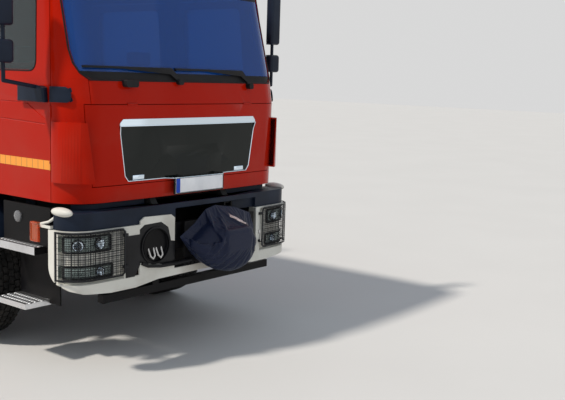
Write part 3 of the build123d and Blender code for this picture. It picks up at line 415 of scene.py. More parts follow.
def shade(mesh, angle):
    for polygon in mesh.polygons:
        polygon.use_smooth = True
    mesh.set_sharp_from_angle(angle=math.radians(angle))


def box_into(work, low, high, bevel=0.0, segments=2):
    """Adds a box between two corners, with rounded edges."""
    made = bmesh.ops.create_cube(work, size=1.0)["verts"]
    size = [h - l for l, h in zip(low, high)]
    centre = [(l + h) / 2 for l, h in zip(low, high)]
    bmesh.ops.scale(work, vec=size, verts=made)
    bmesh.ops.translate(work, vec=centre, verts=made)
    if bevel > 0:
        edges = list({e for v in made for e in v.link_edges})
        bmesh.ops.bevel(work, geom=edges, offset=bevel, offset_type="OFFSET", segments=segments, profile=0.5,
                        affect="EDGES", material=-1)
    return work


def side_box_into(work, side, low, high, bevel=0.0, segments=2):
    """Adds a box whose corners are given for the left side, on the side asked for."""
    near, far = sorted((side * low[0], side * high[0]))
    return box_into(work, at(near, *low[1:]), at(far, *high[1:]), bevel, segments)


def block_into(work, centre, half, bevel=0.0, segments=2):
    """Adds a box of half sizes about its centre."""
    return box_into(work, centre - Vector(half), centre + Vector(half), bevel, segments)


def rod_into(work, start, end, radius, sides=16):
    """Adds a round bar between two points."""
    start, end = Vector(start), Vector(end)
    line = end - start
    place = Matrix.Translation((start + end) / 2) @ line.to_track_quat("Z", "Y").to_matrix().to_4x4()
    bmesh.ops.create_cone(work, cap_ends=True, segments=sides, radius1=radius, radius2=radius,
                          depth=line.length, matrix=place)
    return work


def copies_into(work, shape, places):
    """Adds a copy of one small shape at each place."""
    mesh = bpy.data.meshes.new("copied")
    shape.to_mesh(mesh)
    shape.free()
    for place in places:
        work.verts.ensure_lookup_table()
        count = len(work.verts)
        work.from_mesh(mesh)
        work.verts.ensure_lookup_table()
        bmesh.ops.translate(work, verts=work.verts[count:], vec=place)
    bpy.data.meshes.remove(mesh)
    return work


def thicken(made, thickness):
    """Gives a sheet its thickness, inwards from its face."""
    solid = made.modifiers.new("thickness", "SOLIDIFY")
    solid.thickness = thickness
    solid.offset = -1.0


def ease_edges(made, width, angle=40.0):
    """Rounds every edge that turns by more than an angle in degrees."""
    rounding = made.modifiers.new("edges", "BEVEL")
    rounding.width = width
    rounding.segments = 2
    rounding.limit_method = "ANGLE"
    rounding.angle_limit = math.radians(angle)


def lathe_into(work, profile, origin, axis, steps=48):
    """Spins a profile of (along, radius) pairs about an axis through the origin."""
    axis = Vector(axis).normalized()
    side = axis.orthogonal().normalized()
    origin = Vector(origin)
    verts = [work.verts.new(origin + axis * along + side * radius) for along, radius in profile]
    edges = [work.edges.new(pair) for pair in zip(verts, verts[1:])]
    bmesh.ops.spin(work, geom=verts + edges, cent=origin, axis=axis, angle=math.tau, steps=steps,
                   use_merge=True, use_duplicate=False)
    bmesh.ops.remove_doubles(work, verts=work.verts, dist=1e-6)
    bmesh.ops.recalc_face_normals(work, faces=work.faces)
    return work


def tube(name, points, radius, body, material, closed=False, resolution=4):
    """A bent tube along a list of points, as a mesh."""
    curve = bpy.data.curves.new(name, "CURVE")
    curve.dimensions = "3D"
    curve.bevel_depth = radius
    curve.bevel_resolution = resolution
    curve.use_fill_caps = not closed
    spline = curve.splines.new("POLY")
    spline.points.add(len(points) - 1)
    for point, place in zip(spline.points, points):
        point.co = (*place, 1.0)
    spline.use_cyclic_u = closed
    holder = bpy.data.objects.new(name + "_path", curve)
    bpy.context.scene.collection.objects.link(holder)
    bpy.context.view_layer.update()
    mesh = bpy.data.meshes.new_from_object(holder.evaluated_get(bpy.context.evaluated_depsgraph_get()))
    bpy.data.objects.remove(holder)
    work = bmesh.new()
    work.from_mesh(mesh)
    bpy.data.meshes.remove(mesh)
    bmesh.ops.remove_doubles(work, verts=work.verts, dist=1e-6)
    bmesh.ops.recalc_face_normals(work, faces=work.faces)
    return piece_from(work, name, body, material, 40.0)


def rounded_path(corners, radius, steps=5):
    """A closed path through corners with each one rounded."""
    points = []
    for k, corner in enumerate(corners):
        here = Vector(corner)
        before = (Vector(corners[k - 1]) - here).normalized()
        after = (Vector(corners[(k + 1) % len(corners)]) - here).normalized()
        start, end = here + before * radius, here + after * radius
        for step in range(steps + 1):
            t = step / steps
            points.append(start.lerp(here, t).lerp(here.lerp(end, t), t))
    return points


# The frame's own pieces

# Each node with its finish and the width of its rounded edges, in metres
DRESSED = [
    ("frame_rails", "chassis_black", 0.003),
    ("front_bumper", "cream_white", 0.0),
    ("bumper_step", "dark_plastic", 0.006),
    ("headlamps", "cream_white", 0.003),
    ("lamp_guards", "guard_wire", 0.0),
    ("winch", "chassis_black", 0.002),
    ("tow_hitch", "chassis_black", 0.004),
    ("entry_steps", "chassis_black", 0.003),
    ("mudguards", "dark_plastic", 0.0),
    ("engine", "cast_grey", 0.012),
    ("fuel_tank", "plain_metal", 0.0),
    ("exhaust", "plain_metal", 0.0),
    ("front_axle", "chassis_black", 0.0),
    ("rear_axle", "chassis_black", 0.0),
    ("propshafts", "chassis_black", 0.0),
    ("body_shell", "fire_red", 0.004),
    ("shutters", "shutter_metal", 0.0),
    ("roof_rails", "tube_metal", 0.0),
    ("roof_ladder", "tube_metal", 0.0),
    ("rear_ladder", "tube_metal", 0.0),
    ("rear_lamps", "lamp_black", 0.006),
    ("cab_floor", "floor_rubber", 0.004),
    ("cab_roof", "fire_red", 0.0),
    ("cab_side_frames", "fire_red", 0.003),
    ("cab_front", "fire_red", 0.003),
    ("cab_rear_wall", "fire_red", 0.004),
    ("windscreen", "screen_glass", 0.0),
    ("light_bar", "blue_lens", 0.006),
    ("wipers", "seal_rubber", 0.002),
    ("dashboard", "dark_plastic", 0.008),
    ("front_flap", "fire_red", 0.003),
    ("grille", "grille_black", 0.003),
    ("grille_strip", "bright_trim", 0.005),
    ("mast_stage_one", "tube_metal", 0.0),
    ("mast_stage_two", "tube_metal", 0.0),
    ("mast_head", "lamp_black", 0.005),
    ("monitor_swivel", "signal_red", 0.003),
    ("monitor_barrel", "signal_red", 0.0),
]
for side_name, _ in SIDES:
    DRESSED += [
        ("door_front_" + side_name, "fire_red", 0.003),
        ("door_crew_" + side_name, "fire_red", 0.003),
        ("glass_front_" + side_name, "side_glass", 0.0),
        ("glass_crew_" + side_name, "side_glass", 0.0),
        ("mirror_" + side_name, "dark_plastic", 0.0),
        ("knuckle_" + side_name, "chassis_black", 0.003),
        ("rim_front_" + side_name, "wheel_silver", 0.0),
        ("rim_rear_" + side_name, "wheel_silver", 0.0),
    ]


def body_of(node):
    for body, nodes in frame["record"]["behaviour"]["bodies"].items():
        if node in nodes:
            return body
    raise ValueError("no body for " + node)


# Each node's joined mesh, kept for the next piece that starts from it
MERGED = {}


def merged_copy(node):
    """The node's triangles joined into one closed skin, with flat areas dissolved."""
    work = bmesh.new()
    if node in MERGED:
        work.from_mesh(MERGED[node])
        return work
    work.from_mesh(frame["nodes"][node].data)
    bmesh.ops.remove_doubles(work, verts=work.verts, dist=1e-5)
    bmesh.ops.dissolve_limit(work, angle_limit=math.radians(0.15), verts=work.verts, edges=work.edges)
    MERGED[node] = bpy.data.meshes.new(node + "_merged")
    work.to_mesh(MERGED[node])
    return work


# How a node's name starts, the box |x|, s, z whose sharp edges are rounded, the width, the shortest such edge
SOFTENED = [
    ("mirror", (1.33, 0.34, 2.385), (1.47, 0.44, 2.830), 0.024, 0.0),
    ("mirror", (1.33, 0.34, 2.140), (1.47, 0.44, 2.315), 0.024, 0.0),
    ("mirror", (1.11, 0.28, 1.885), (1.18, 0.60, 2.012), 0.014, 0.06),
    ("mast_head", (0.3, -1.0, 3.0), (1.5, 9.0, 3.4), 0.012, 0.06),
]

# Node, finish, and the box |x|, s, z whose faces take it
PAINTED = [
    ("cab_front", "dark_plastic", (1.055, -0.1, 1.890), (1.160, 0.268, 2.010)),
    ("entry_steps", "tread_metal", (0.945, 0.0, 0.820), (1.185, 3.0, 0.883)),
    ("entry_steps", "tread_metal", (0.945, 0.0, 0.405), (1.180, 3.0, 0.455)),
    ("entry_steps", "amber_lens", (1.188, 0.29, 0.930), (1.215, 0.38, 1.080)),
    ("entry_steps", "cream_white", (1.106, 0.17, 1.035), (1.200, 0.345, 1.066)),
    ("light_bar", "dark_plastic", (0.0, 0.0, 2.970), (0.9, 2.0, 3.024)),
]


def in_box(point, low, high):
    """Whether a point lies in a box |x|, s, z on either side."""
    place = (abs(point.x), point.y - CAB_FACE, point.z)
    return all(least <= value <= most for least, value, most in zip(low, place, high))


def soften(work, low, high, width, shortest):
    """Rounds the sharp outer edges that lie in a box and are long enough."""
    edges = [edge for edge in work.edges if edge.calc_length() > shortest and edge.is_convex
             and edge.calc_face_angle() > 0.6 and all(in_box(vert.co, low, high) for vert in edge.verts)]
    bmesh.ops.bevel(work, geom=edges, offset=width, offset_type="OFFSET", segments=4, profile=0.5,
                    affect="EDGES", material=-1)


def paint_box(piece, material, low, high):
    """Gives a finish to the faces that lie wholly in a box."""
    piece.data.materials.append(finish_of(material))
    index = len(piece.data.materials) - 1
    held = [in_box(vert.co, low, high) for vert in piece.data.vertices]
    for face in piece.data.polygons:
        if all(held[k] for k in face.vertices):
            face.material_index = index


def dress(node, material, bevel):
    """Replaces a node by its own form with a finish, eased edges and its painted parts."""
    work = merged_copy(node)
    for start, low, high, width, shortest in SOFTENED:
        if node.startswith(start):
            soften(work, low, high, width, shortest)
    made = piece_from(work, node + "_dressed", body_of(node), material, 32.0)
    if bevel > 0:
        ease_edges(made, bevel)
    for painted, finish, low, high in PAINTED:
        if painted == node:
            paint_box(made, finish, low, high)
    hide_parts(node)


# Reading the frame's surfaces

# How far out the lines to the frame's surfaces start, in front of the cab and beside it
FRONT_START = -2.9
SIDE_START = 4.0
TARGETS = {}


def target(nodes):
    """A ray target made of some of the frame's nodes."""
    key = tuple(nodes)
    if key not in TARGETS:
        work = bmesh.new()
        for node in nodes:
            work.from_mesh(frame["nodes"][node].data)
        TARGETS[key] = BVHTree.FromBMesh(work)
        work.free()
    return TARGETS[key]


def node_box(node):
    """The lower and upper corner of one of the frame's nodes."""
    corners = [vert.co for vert in frame["nodes"][node].data.vertices]
    low = Vector([min(c[k] for c in corners) for k in range(3)])
    high = Vector([max(c[k] for c in corners) for k in range(3)])
    return low, high


def surface_point(start, direction, nodes, lift):
    """Where a line meets some nodes, or else their point nearest to a place on it, lifted off them."""
    tree = target(nodes)
    place, normal, _, _ = tree.ray_cast(start, direction)
    if place is None:
        place, normal, _, _ = tree.find_nearest(start + direction * 3.0)
    return place + (normal if normal.dot(direction) < 0 else -normal) * lift


def front_point(x, z, nodes, lift=0.0):
    """The foremost point of some nodes at x and z, lifted off them."""
    return surface_point(at(x, FRONT_START, z), Vector((0, 1, 0)), nodes, lift)


def side_point(side, s, z, nodes, lift=0.0):
    """The outermost point of some nodes on one side at s and z, lifted off them."""
    return surface_point(at(side * SIDE_START, s, z), Vector((-side, 0, 0)), nodes, lift)


def divided(corners, step):
    """The points of a closed loop with more laid between them, at most a step apart."""
    points = []
    for here, there in zip(corners, corners[1:] + corners[:1]):
        here, there = Vector(here), Vector(there)
        count = max(1, math.ceil((there - here).length / step))
        points += [here.lerp(there, k / count) for k in range(count)]
    return points


def spaced_loop(pairs, step):
    """A closed loop of pairs of numbers with more laid between them."""
    return [(p.x, p.y) for p in divided([(a, b, 0.0) for a, b in pairs], step)]


def mirrored_pairs(half):
    """A half outline of (x, z) and its mirror image, as one loop."""
    return list(half) + [(-x, z) for x, z in reversed(half)]


def between(low, high, side=0, inner=None, outer=None):
    """Planes that cut off what lies past two heights and past two distances from the middle on one side."""
    cuts = [(at(0, 0, low), (0, 0, -1)) if low else None, (at(0, 0, high), (0, 0, 1)) if high else None,
            (at(side * inner, 0, 0), (-side, 0, 0)) if inner else None,
            (at(side * outer, 0, 0), (side, 0, 0)) if outer else None]
    return [cut for cut in cuts if cut]


def patch(name, node, planes, facing, lift, material, least=0.7):
    """Lifts a thin layer off the faces of a node that look one way, cut by planes of (point, normal)."""
    work = merged_copy(node)
    for place, normal in planes:
        geometry = work.verts[:] + work.edges[:] + work.faces[:]
        bmesh.ops.bisect_plane(work, geom=geometry, plane_co=place, plane_no=normal, clear_outer=True)
    facing = Vector(facing)
    work.normal_update()
    away = [face for face in work.faces if face.normal.dot(facing) < least]
    bmesh.ops.delete(work, geom=away, context="FACES")
    work.normal_update()
    shifts = [(vert, vert.normal.copy()) for vert in work.verts]
    for vert, normal in shifts:
        vert.co += normal * lift
    return piece_from(work, name, body_of(node), material, 40.0)


# The glazing's seals and dark borders

# The windscreen's half outline from the front, as (x, z), and the windows' outlines from the side, as (s, z)
SCREEN_HALF = [(1.000, 2.795), (1.034, 2.575), (1.037, 2.260), (1.027, 2.165), (1.000, 2.100), (0.945, 2.060)]
SCREEN_CORNER_Z = 2.100
SCREEN_BANDS = (("low", None, 2.112), ("top", 2.730, None))
BAND_LIFT = 0.0006
WINDOWS = {
    "front": [(0.440, 2.110), (0.475, 2.690), (1.150, 2.690), (1.150, 2.110)],
    "crew": [(1.485, 2.110), (1.485, 2.690), (2.310, 2.690), (2.310, 2.110)],
}
WINDOW_CORNER = 0.0825
WINDOW_SEAL_SHARE = 0.8


class FIREENGINE_OT_glazing(bpy.types.Operator):
    """Adds the rubber seals round the windows and the dark bands on the windscreen"""

    bl_idname = "fire_engine.glazing"
    bl_label = "Seal the glazing"

    def execute(self, context):
        seal = context.scene.fire_engine_glazing.seal
        self.screen(seal)
        for side_name, side in SIDES:
            for place, outline in WINDOWS.items():
                end = place + "_" + side_name
                self.window("seal_" + end, "door_" + end, side, outline, seal)
        return {"FINISHED"}

    def screen(self, seal):
        around = ["cab_front", "cab_side_frames", "cab_roof", "windscreen"]
        grown = [(x + seal, z - seal if z < SCREEN_CORNER_Z else z) for x, z in SCREEN_HALF]
        points = [front_point(x, z, around, 0.001) for x, z in spaced_loop(mirrored_pairs(grown), 0.06)]
        tube("screen_seal", points, seal, "cab", "seal_rubber", closed=True, resolution=2)
        for name, low, high in SCREEN_BANDS:
            patch("screen_" + name + "_band", "windscreen", between(low, high), (0, -1, 0), BAND_LIFT,
                  "seal_rubber", 0.2)

    def window(self, name, door, side, outline, seal):
        middle_s = sum(s for s, _ in outline) / len(outline)
        middle_z = sum(z for _, z in outline) / len(outline)
        grown = [(s + math.copysign(seal, s - middle_s), z + math.copysign(seal, z - middle_z), 0.0)
                 for s, z in outline]
        points = [side_point(side, p.x, p.y, [door], 0.0005)
                  for p in divided(rounded_path(grown, WINDOW_CORNER), 0.08)]
        tube(name, points, seal * WINDOW_SEAL_SHARE, body_of(door), "seal_rubber",
             closed=True, resolution=2)


class FIREENGINE_PG_glazing(bpy.types.PropertyGroup):
    seal: bpy.props.FloatProperty(name="Seal", description="Half the width of a window's seal",
                                  subtype="DISTANCE", unit="LENGTH", default=0.006)


# The lamps behind their guards

BUMPER_BOW = 0.040
BUMPER_CORNER = 0.190
CORNER_DEPTH = 0.985
BUMPER_STEP = 0.03
# Each lamp: its name, foot, top, inner edge and the places of its round reflectors
LAMPS = [
    ("upper", 0.886, 0.994, 0.855, (0.945, 1.100)),
    ("lower", 0.700, 0.788, 0.840, (0.940,)),
]
# How far out from the bumper's face a line along it lies, the x where it starts and the s where it ends; a
# lamp's frame starts at the lamp's inner edge
LAMP_FRAME_LINE = (-0.014, 0.098)
LAMP_FRAME_RADIUS = 0.0085
LAMP_FRAME_CORNER = 0.012
BACKING_LINE = (-0.024, 0.735, 0.105)
BACKING_FOOT = 0.650
BACKING_HEIGHT = 0.385
MESH_LINE = (0.0175, 0.756, 0.104)
MESH_MARGIN = 0.01


def bumper_path(outset, x_start, s_end):
    """Plan points (x, s) along the bumper's left half, out by an outset, from the front round the corner."""
    low, high = node_box("front_bumper")
    half = high.x
    front = low.y - CAB_FACE
    points = []
    x = x_start
    while x < half - BUMPER_CORNER:
        points.append((x, front + BUMPER_BOW * (x / half) ** 2 - outset))
        x += BUMPER_STEP
    centre_s = front + BUMPER_BOW + BUMPER_CORNER * CORNER_DEPTH
    for k in range(9):
        turn = math.pi / 2 * k / 8
        reach = BUMPER_CORNER + outset
        points.append((half - BUMPER_CORNER + reach * math.sin(turn), centre_s - reach * math.cos(turn)))
    if s_end > centre_s:
        points.append((half + outset, s_end))
    return [(x, s) for x, s in points if s <= s_end]


def along(points, distance):
    """The point at a distance along a line of plan points."""
    for a, b in zip(points, points[1:]):
        a, b = Vector(a), Vector(b)
        length = (b - a).length
        if distance <= length:
            return tuple(a.lerp(b, distance / length))
        distance -= length
    return tuple(points[-1])


def face_forwards(work):
    """Turns an open sheet's faces to the front."""
    bmesh.ops.recalc_face_normals(work, faces=work.faces)
    if work.faces[:][0].normal.y > 0:
        bmesh.ops.reverse_faces(work, faces=work.faces)


class FIREENGINE_OT_lamps(bpy.types.Operator):
    """Adds the lamps' frames, reflectors and lenses, the panel behind them and the wire mesh in front"""

    bl_idname = "fire_engine.lamps"
    bl_label = "Fit the lamps"

    def execute(self, context):
        settings = context.scene.fire_engine_lamps
        for side_name, side in SIDES:
            for name, low, high, inner, places in LAMPS:
                self.lamp(name + "_lamp_" + side_name, side, low, high, inner, places)
            self.mesh("lamp_mesh_" + side_name, side, settings)
            self.backing("lamp_backing_" + side_name, side)
        return {"FINISHED"}

    def backing(self, name, side):
        """The white panel that the lamps stand in, behind the mesh."""
        work = bmesh.new()
        row = [work.verts.new(at(side * x, s, BACKING_FOOT)) for x, s in bumper_path(*BACKING_LINE)]
        edges = [work.edges.new(pair) for pair in zip(row, row[1:])]
        grown = bmesh.ops.extrude_edge_only(work, edges=edges)["geom"]
        top = [item for item in grown if isinstance(item, bmesh.types.BMVert)]
        bmesh.ops.translate(work, verts=top, vec=(0, 0, BACKING_HEIGHT))
        face_forwards(work)
        thicken(piece_from(work, name, "chassis", "cream_white"), 0.003)

    def lamp(self, name, side, low, high, inner, places):
        outset, s_end = LAMP_FRAME_LINE
        plan = [(side * x, s) for x, s in bumper_path(outset, inner, s_end)]
        corners = [at(x, s, low) for x, s in plan] + [at(x, s, high) for x, s in reversed(plan)]
        tube(name + "_frame", rounded_path(corners, LAMP_FRAME_CORNER), LAMP_FRAME_RADIUS, "chassis",
             "lamp_black", closed=True, resolution=2)
        patch(name + "_face", "headlamps", between(low, high, side, inner), (side * 0.3, -1, 0), 0.001,
              "reflector", 0.55)
        middle = (low + high) / 2
        radius = (high - low) * 0.40
        profiles = {
            ("rings", "lamp_black"): [(0.001, 1.0), (0.009, 1.0), (0.009, 0.9), (0.002, 0.9)],
            ("bowls", "bright_trim"): [(0.008, 0.9), (0.004, 0.55), (0.002, 0.0)],
            ("covers", "lamp_glass"): [(0.009, 0.92), (0.014, 0.5), (0.015, 0.0)],
        }
        for (part, material), profile in profiles.items():
            work = bmesh.new()
            for x in places:
                place = front_point(side * x, middle, ["headlamps"])
                outward = place - front_point(side * x, middle, ["headlamps"], -1.0)
                lathe_into(work, [(depth, share * radius) for depth, share in profile], place, outward, 28)
            piece_from(work, name + "_" + part, "chassis", material)

    def mesh(self, name, side, settings):
        low, high = node_box("lamp_guards")
        plan = bumper_path(*MESH_LINE)
        work = bmesh.new()
        for k in range(1, settings.rows):
            z = low.z + (high.z - low.z) * k / settings.rows
            points = [at(side * x, s, z) for x, s in plan]
            for here, there in zip(points, points[1:]):
                rod_into(work, here, there, settings.wire, 4)
        length = sum((Vector(b) - Vector(a)).length for a, b in zip(plan, plan[1:]))
        for k in range(1, settings.columns):
            x, s = along(plan, length * k / settings.columns)
            rod_into(work, at(side * x, s, low.z + MESH_MARGIN), at(side * x, s, high.z - MESH_MARGIN),
                     settings.wire, 4)
        piece_from(work, name, "chassis", "guard_wire")


class FIREENGINE_PG_lamps(bpy.types.PropertyGroup):
    rows: bpy.props.IntProperty(name="Rows", description="Cells of the wire mesh in height", default=22)
    columns: bpy.props.IntProperty(name="Columns", description="Cells of the wire mesh in length", default=26)
    wire: bpy.props.FloatProperty(name="Wire", description="Radius of the mesh's wires", subtype="DISTANCE",
                                  unit="LENGTH", default=0.0018)


# Trim, plate, handles and marking tape

GRILLE_HALF = [(0.729, 1.735), (0.672, 1.380), (0.640, 1.340), (0.0, 1.340)]
GRILLE_LINE_RADIUS = 0.0045
BADGE_X, BADGE_Z = 0.545, 1.366
PLATE_CENTRE = (0.030, -0.042, 1.284)
PLATE_WIDTH = 0.520
PLATE_HEIGHT = 0.114
PLATE_BAND = 0.044
TAPE_LOW = 1.430
TAPE_HIGH = 1.494
TAPE_INNER = 1.0
MIRROR_GLASS = (2.170, 2.800)
HANDLE_S = {"front": 1.085, "crew": 2.250}
HANDLE_Z = 1.930
# The marker lamps along the body's foot, as (s, z)
MARKERS = ((3.46, 0.685), (4.44, 0.685), (6.36, 0.845), (7.30, 0.845))
BAR_JOINTS = (-0.56, -0.28, 0.28, 0.56)
# Each side shutter's bottom bar: its two ends and its foot
SHUTTER_BARS = ((2.995, 3.925, 0.710), (3.975, 4.910, 0.710), (4.970, 6.330, 1.330), (6.380, 7.790, 0.870))


class FIREENGINE_OT_trim(bpy.types.Operator):
    """Adds the grille's line, blank plate and badges, handles, tape, mirror glass, markers, shutter bars"""

    bl_idname = "fire_engine.trim"
    bl_label = "Fit the trim"

    def execute(self, context):
        self.grille_line()
        self.plate()
        for side_name, side in SIDES:
            for door, s in HANDLE_S.items():
                self.handle(door + "_handle_" + side_name, "door_" + door + "_" + side_name, side, s)
            self.tape(side_name, side)
            patch("mirror_glass_" + side_name, "mirror_" + side_name, between(*MIRROR_GLASS), (0, 1, 0),
                  0.0012, "mirror_face", 0.95)
            self.markers(side_name, side)
        self.shutter_bars()
        self.bar_joints()
        return {"FINISHED"}

    def markers(self, side_name, side):
        lamps, seats = bmesh.new(), bmesh.new()
        for s, z in MARKERS:
            place = side_point(side, s, z, ["body_shell"])
            block_into(seats, place, (0.003, 0.038, 0.017), 0.002)
            block_into(lamps, place, (0.009, 0.032, 0.012), 0.005, 3)
        piece_from(seats, "marker_seats_" + side_name, "chassis", "lamp_black")
        piece_from(lamps, "marker_lamps_" + side_name, "chassis", "amber_lens")

    def bar_joints(self):
        """The dark joints between the light bar's lenses."""
        low, high = node_box("light_bar")
        work = bmesh.new()
        for x in BAR_JOINTS:
            box_into(work, (x - 0.006, low.y - 0.0015, low.z + 0.036),
                     (x + 0.006, high.y + 0.0015, high.z + 0.0015), 0.001)
        piece_from(work, "light_bar_joints", "cab", "lamp_black")

    def grille_line(self):
        """The bright line round the grille and the two small blank badges in its lower corners."""
        around = ["grille", "front_flap", "grille_strip"]
        points = [front_point(x * 0.997, z + 0.002, around, 0.001)
                  for x, z in spaced_loop(mirrored_pairs(GRILLE_HALF), 0.06)]
        tube("grille_line", points, GRILLE_LINE_RADIUS, "flap", "bright_trim", closed=True,
             resolution=2)
        badges = bmesh.new()
        for x in (-BADGE_X, BADGE_X):
            place = front_point(x, BADGE_Z, ["grille"]) - Vector((0, 0.001, 0))
            block_into(badges, place, (0.055, 0.003, 0.016), 0.004)
        piece_from(badges, "grille_badges", "flap", "bright_trim")

    def plate(self):
        """The blank number plate with its band and rim."""
        centre = at(*PLATE_CENTRE)
        half = Vector((PLATE_WIDTH / 2, 0.0, PLATE_HEIGHT / 2))
        sheet = box_into(bmesh.new(), centre - half - Vector((0, 0.0045, 0)),
                         centre + half - Vector((0, 0.001, 0)), 0.001)
        piece_from(sheet, "number_plate", "flap", "plate_white")
        band = box_into(bmesh.new(), centre - half + Vector((0.003, -0.0052, 0.003)),
                        centre - half + Vector((PLATE_BAND, -0.004, PLATE_HEIGHT - 0.003)))
        piece_from(band, "number_plate_band", "flap", "plate_blue")
        rim = rounded_path([centre + Vector((x * half.x * 0.99, -0.005, z * half.z * 0.95))
                            for x, z in ((-1, -1), (1, -1), (1, 1), (-1, 1))], 0.008)
        tube("number_plate_rim", rim, 0.0014, "flap", "lamp_black", closed=True, resolution=1)

    def handle(self, name, door, side, s):
        """A pull bar on its two posts."""
        work = bmesh.new()
        side_box_into(work, side, (CAB_HALF - 0.012, s - 0.065, HANDLE_Z - 0.014),
                      (CAB_HALF, s + 0.065, HANDLE_Z + 0.014), 0.005, 3)
        for offset in (-0.05, 0.05):
            rod_into(work, on_side(side, (CAB_HALF - 0.015, s + offset, HANDLE_Z)),
                     on_side(side, (CAB_HALF - 0.006, s + offset, HANDLE_Z)), 0.008, 12)
        piece_from(work, name, body_of(door), "lamp_black")

    def tape(self, side_name, side):
        end = "_" + side_name
        for name, node in (("door_front" + end, "door_front" + end), ("door_crew" + end, "door_crew" + end),
                           ("cab_side_frames" + end, "cab_side_frames")):
            patch("tape_" + name, node, between(TAPE_LOW, TAPE_HIGH, side, TAPE_INNER), (side, 0, 0), 0.0007,
                  "side_tape", 0.9)

    def shutter_bars(self):
        """The bottom bars of the side shutters, with their grips."""
        face = node_box("shutters")[1].x
        work = bmesh.new()
        for side in (-1, 1):
            for s0, s1, z in SHUTTER_BARS:
                middle = (s0 + s1) / 2
                side_box_into(work, side, (face - 0.002, s0 + 0.01, z), (face + 0.014, s1 - 0.01, z + 0.05),
                              0.004)
                rod_into(work, on_side(side, (face + 0.010, middle - 0.09, z + 0.025)),
                         on_side(side, (face + 0.010, middle + 0.09, z + 0.025)), 0.008, 10)
        piece_from(work, "shutter_bars", "chassis", "plain_metal")


# The fittings on the bumper, the skirts and the body's rear

# The black plate round the coupling jaw and the one over the box beside it, seen from the front as (x, z):
# painted shade, standing in for the dark inside the bumper's openings
JAW_SHADE_PLATE = [(-0.604, 0.758), (-0.604, 1.000), (-0.560, 1.030), (-0.400, 1.035), (-0.330, 0.990),
             (-0.300, 0.885), (-0.262, 0.878), (-0.262, 0.712), (-0.368, 0.716), (-0.560, 0.745)]
SIDE_BOX_SHADE = [(-0.732, 0.664), (-0.732, 0.966), (-0.600, 0.966), (-0.600, 0.745), (-0.650, 0.664)]
JAW_X, JAW_Z = -0.455, 0.868
JAW_HOLE = 0.134
# The jaw's funnel, from its rim inwards, as (depth, radius)
JAW_FUNNEL = [(-0.004, 0.138), (-0.012, 0.138), (-0.014, 0.128), (0.060, 0.104), (0.100, 0.052), (0.100, 0.0)]
JAW_RIM_RADIUS = 0.128
# A loop in the jaw as (sideways, s, height), and the middles of the two
JAW_LOOP = [(-0.026, -0.050, -0.010), (-0.022, -0.078, -0.075), (0.0, -0.082, -0.096),
            (0.022, -0.078, -0.075), (0.026, -0.050, -0.010)]
JAW_LOOPS = (-0.034, 0.042)
JAW_LIP = [(-0.59, -0.075, 0.752), (-0.54, -0.090, 0.728), (-0.42, -0.094, 0.712), (-0.28, -0.092, 0.708),
           (-0.10, -0.090, 0.716)]
# The steps' two ends, and each tread's first stud, outer edge and top
STEP_ENDS = ((0.300, 0.850), (2.080, 2.660))
STEP_TREADS = ((0.080, 1.182, 0.881), (0.200, 1.176, 0.450))
STUD_ROWS = (0.045, 0.097, 0.149)
STUD_PROFILE = [(-0.001, 0.017), (0.0035, 0.012), (0.0035, 0.0085), (0.0002, 0.0075)]
# On the left side: the pale ball on the bumper's corner, a painted highlight where its top catches the light,
# with its arm, the marker's rim, and the skirt's two lamps
HIGHLIGHT_CAP_PLACE = (1.145, 0.120, 1.158)
HIGHLIGHT_CAP_STRETCH = (0.9, 2.1, 0.66, 1)
CAP_ARM = ((1.150, 0.110, 1.160), (1.170, 0.230, 1.080), (1.185, 0.300, 1.060))
MARKER_X = 1.214
MARKER_S = (0.296, 0.376)
MARKER_Z = (0.942, 1.068)
SKIRT_LAMP = (1.105, 0.673, 1.061)
SKIRT_LAMP_PROFILE = [(0.0, 0.042), (0.010, 0.040), (0.017, 0.026), (0.019, 0.0)]
STEP_LAMP = ((0.936, 0.44, 0.53), (0.948, 0.50, 0.57))
# The rear lamps' lenses: finish, inner and outer edge
REAR_LENSES = (("red", 1.020, 1.130), ("amber", 1.135, 1.215), ("clear", 0.935, 1.015))
REAR_LENS_Z = (0.858, 0.972)
BEACON_Z = (2.885, 2.990)
BEACON_INNER = 0.5
FLOODLIGHT_Z = (3.136, 3.212)
ROOF_FLOOR_Z = 2.95
# The radiator's tank, core and side plates as low corner, high corner, rounding and its segments
RADIATOR = (
    ((-0.40, 0.335, 1.105), (0.40, 0.400, 1.165), 0.012, 3),
    ((-0.33, 0.340, 0.770), (0.33, 0.395, 1.110), 0.004, 2),
    ((-0.62, 0.346, 1.060), (0.62, 0.352, 1.168), 0.002, 2),
)
RADIATOR_FINS = 60
RADIATOR_HALF = 0.325


def wall_plate(outline, lift, step=0.04, hole=None):
    """A plate along the bumper's bow: an outline of (x, z), with a round hole if given, cut into strips."""
    work = bmesh.new()
    rim = [work.verts.new((x, 0.0, z)) for x, z in outline]
    loops = [work.edges.new(pair) for pair in zip(rim, rim[1:] + rim[:1])]
    if hole:
        x, z, radius = hole
        turned = Matrix.Translation((x, 0.0, z)) @ Matrix.Rotation(math.pi / 2, 4, "X")
        ring = bmesh.ops.create_circle(work, segments=40, radius=radius, matrix=turned)["verts"]
        loops += list({edge for vert in ring for edge in vert.link_edges})
    bmesh.ops.triangle_fill(work, use_beauty=True, edges=loops)
    first, last = min(x for x, _ in outline), max(x for x, _ in outline)
    for k in range(1, math.ceil((last - first) / step)):
        geometry = work.verts[:] + work.edges[:] + work.faces[:]
        bmesh.ops.bisect_plane(work, geom=geometry, plane_co=(first + k * step, 0, 0), plane_no=(1, 0, 0))
    low, high = node_box("front_bumper")
    for vert in work.verts:
        vert.co.y = low.y + BUMPER_BOW * (vert.co.x / high.x) ** 2 - lift
    face_forwards(work)
    return work


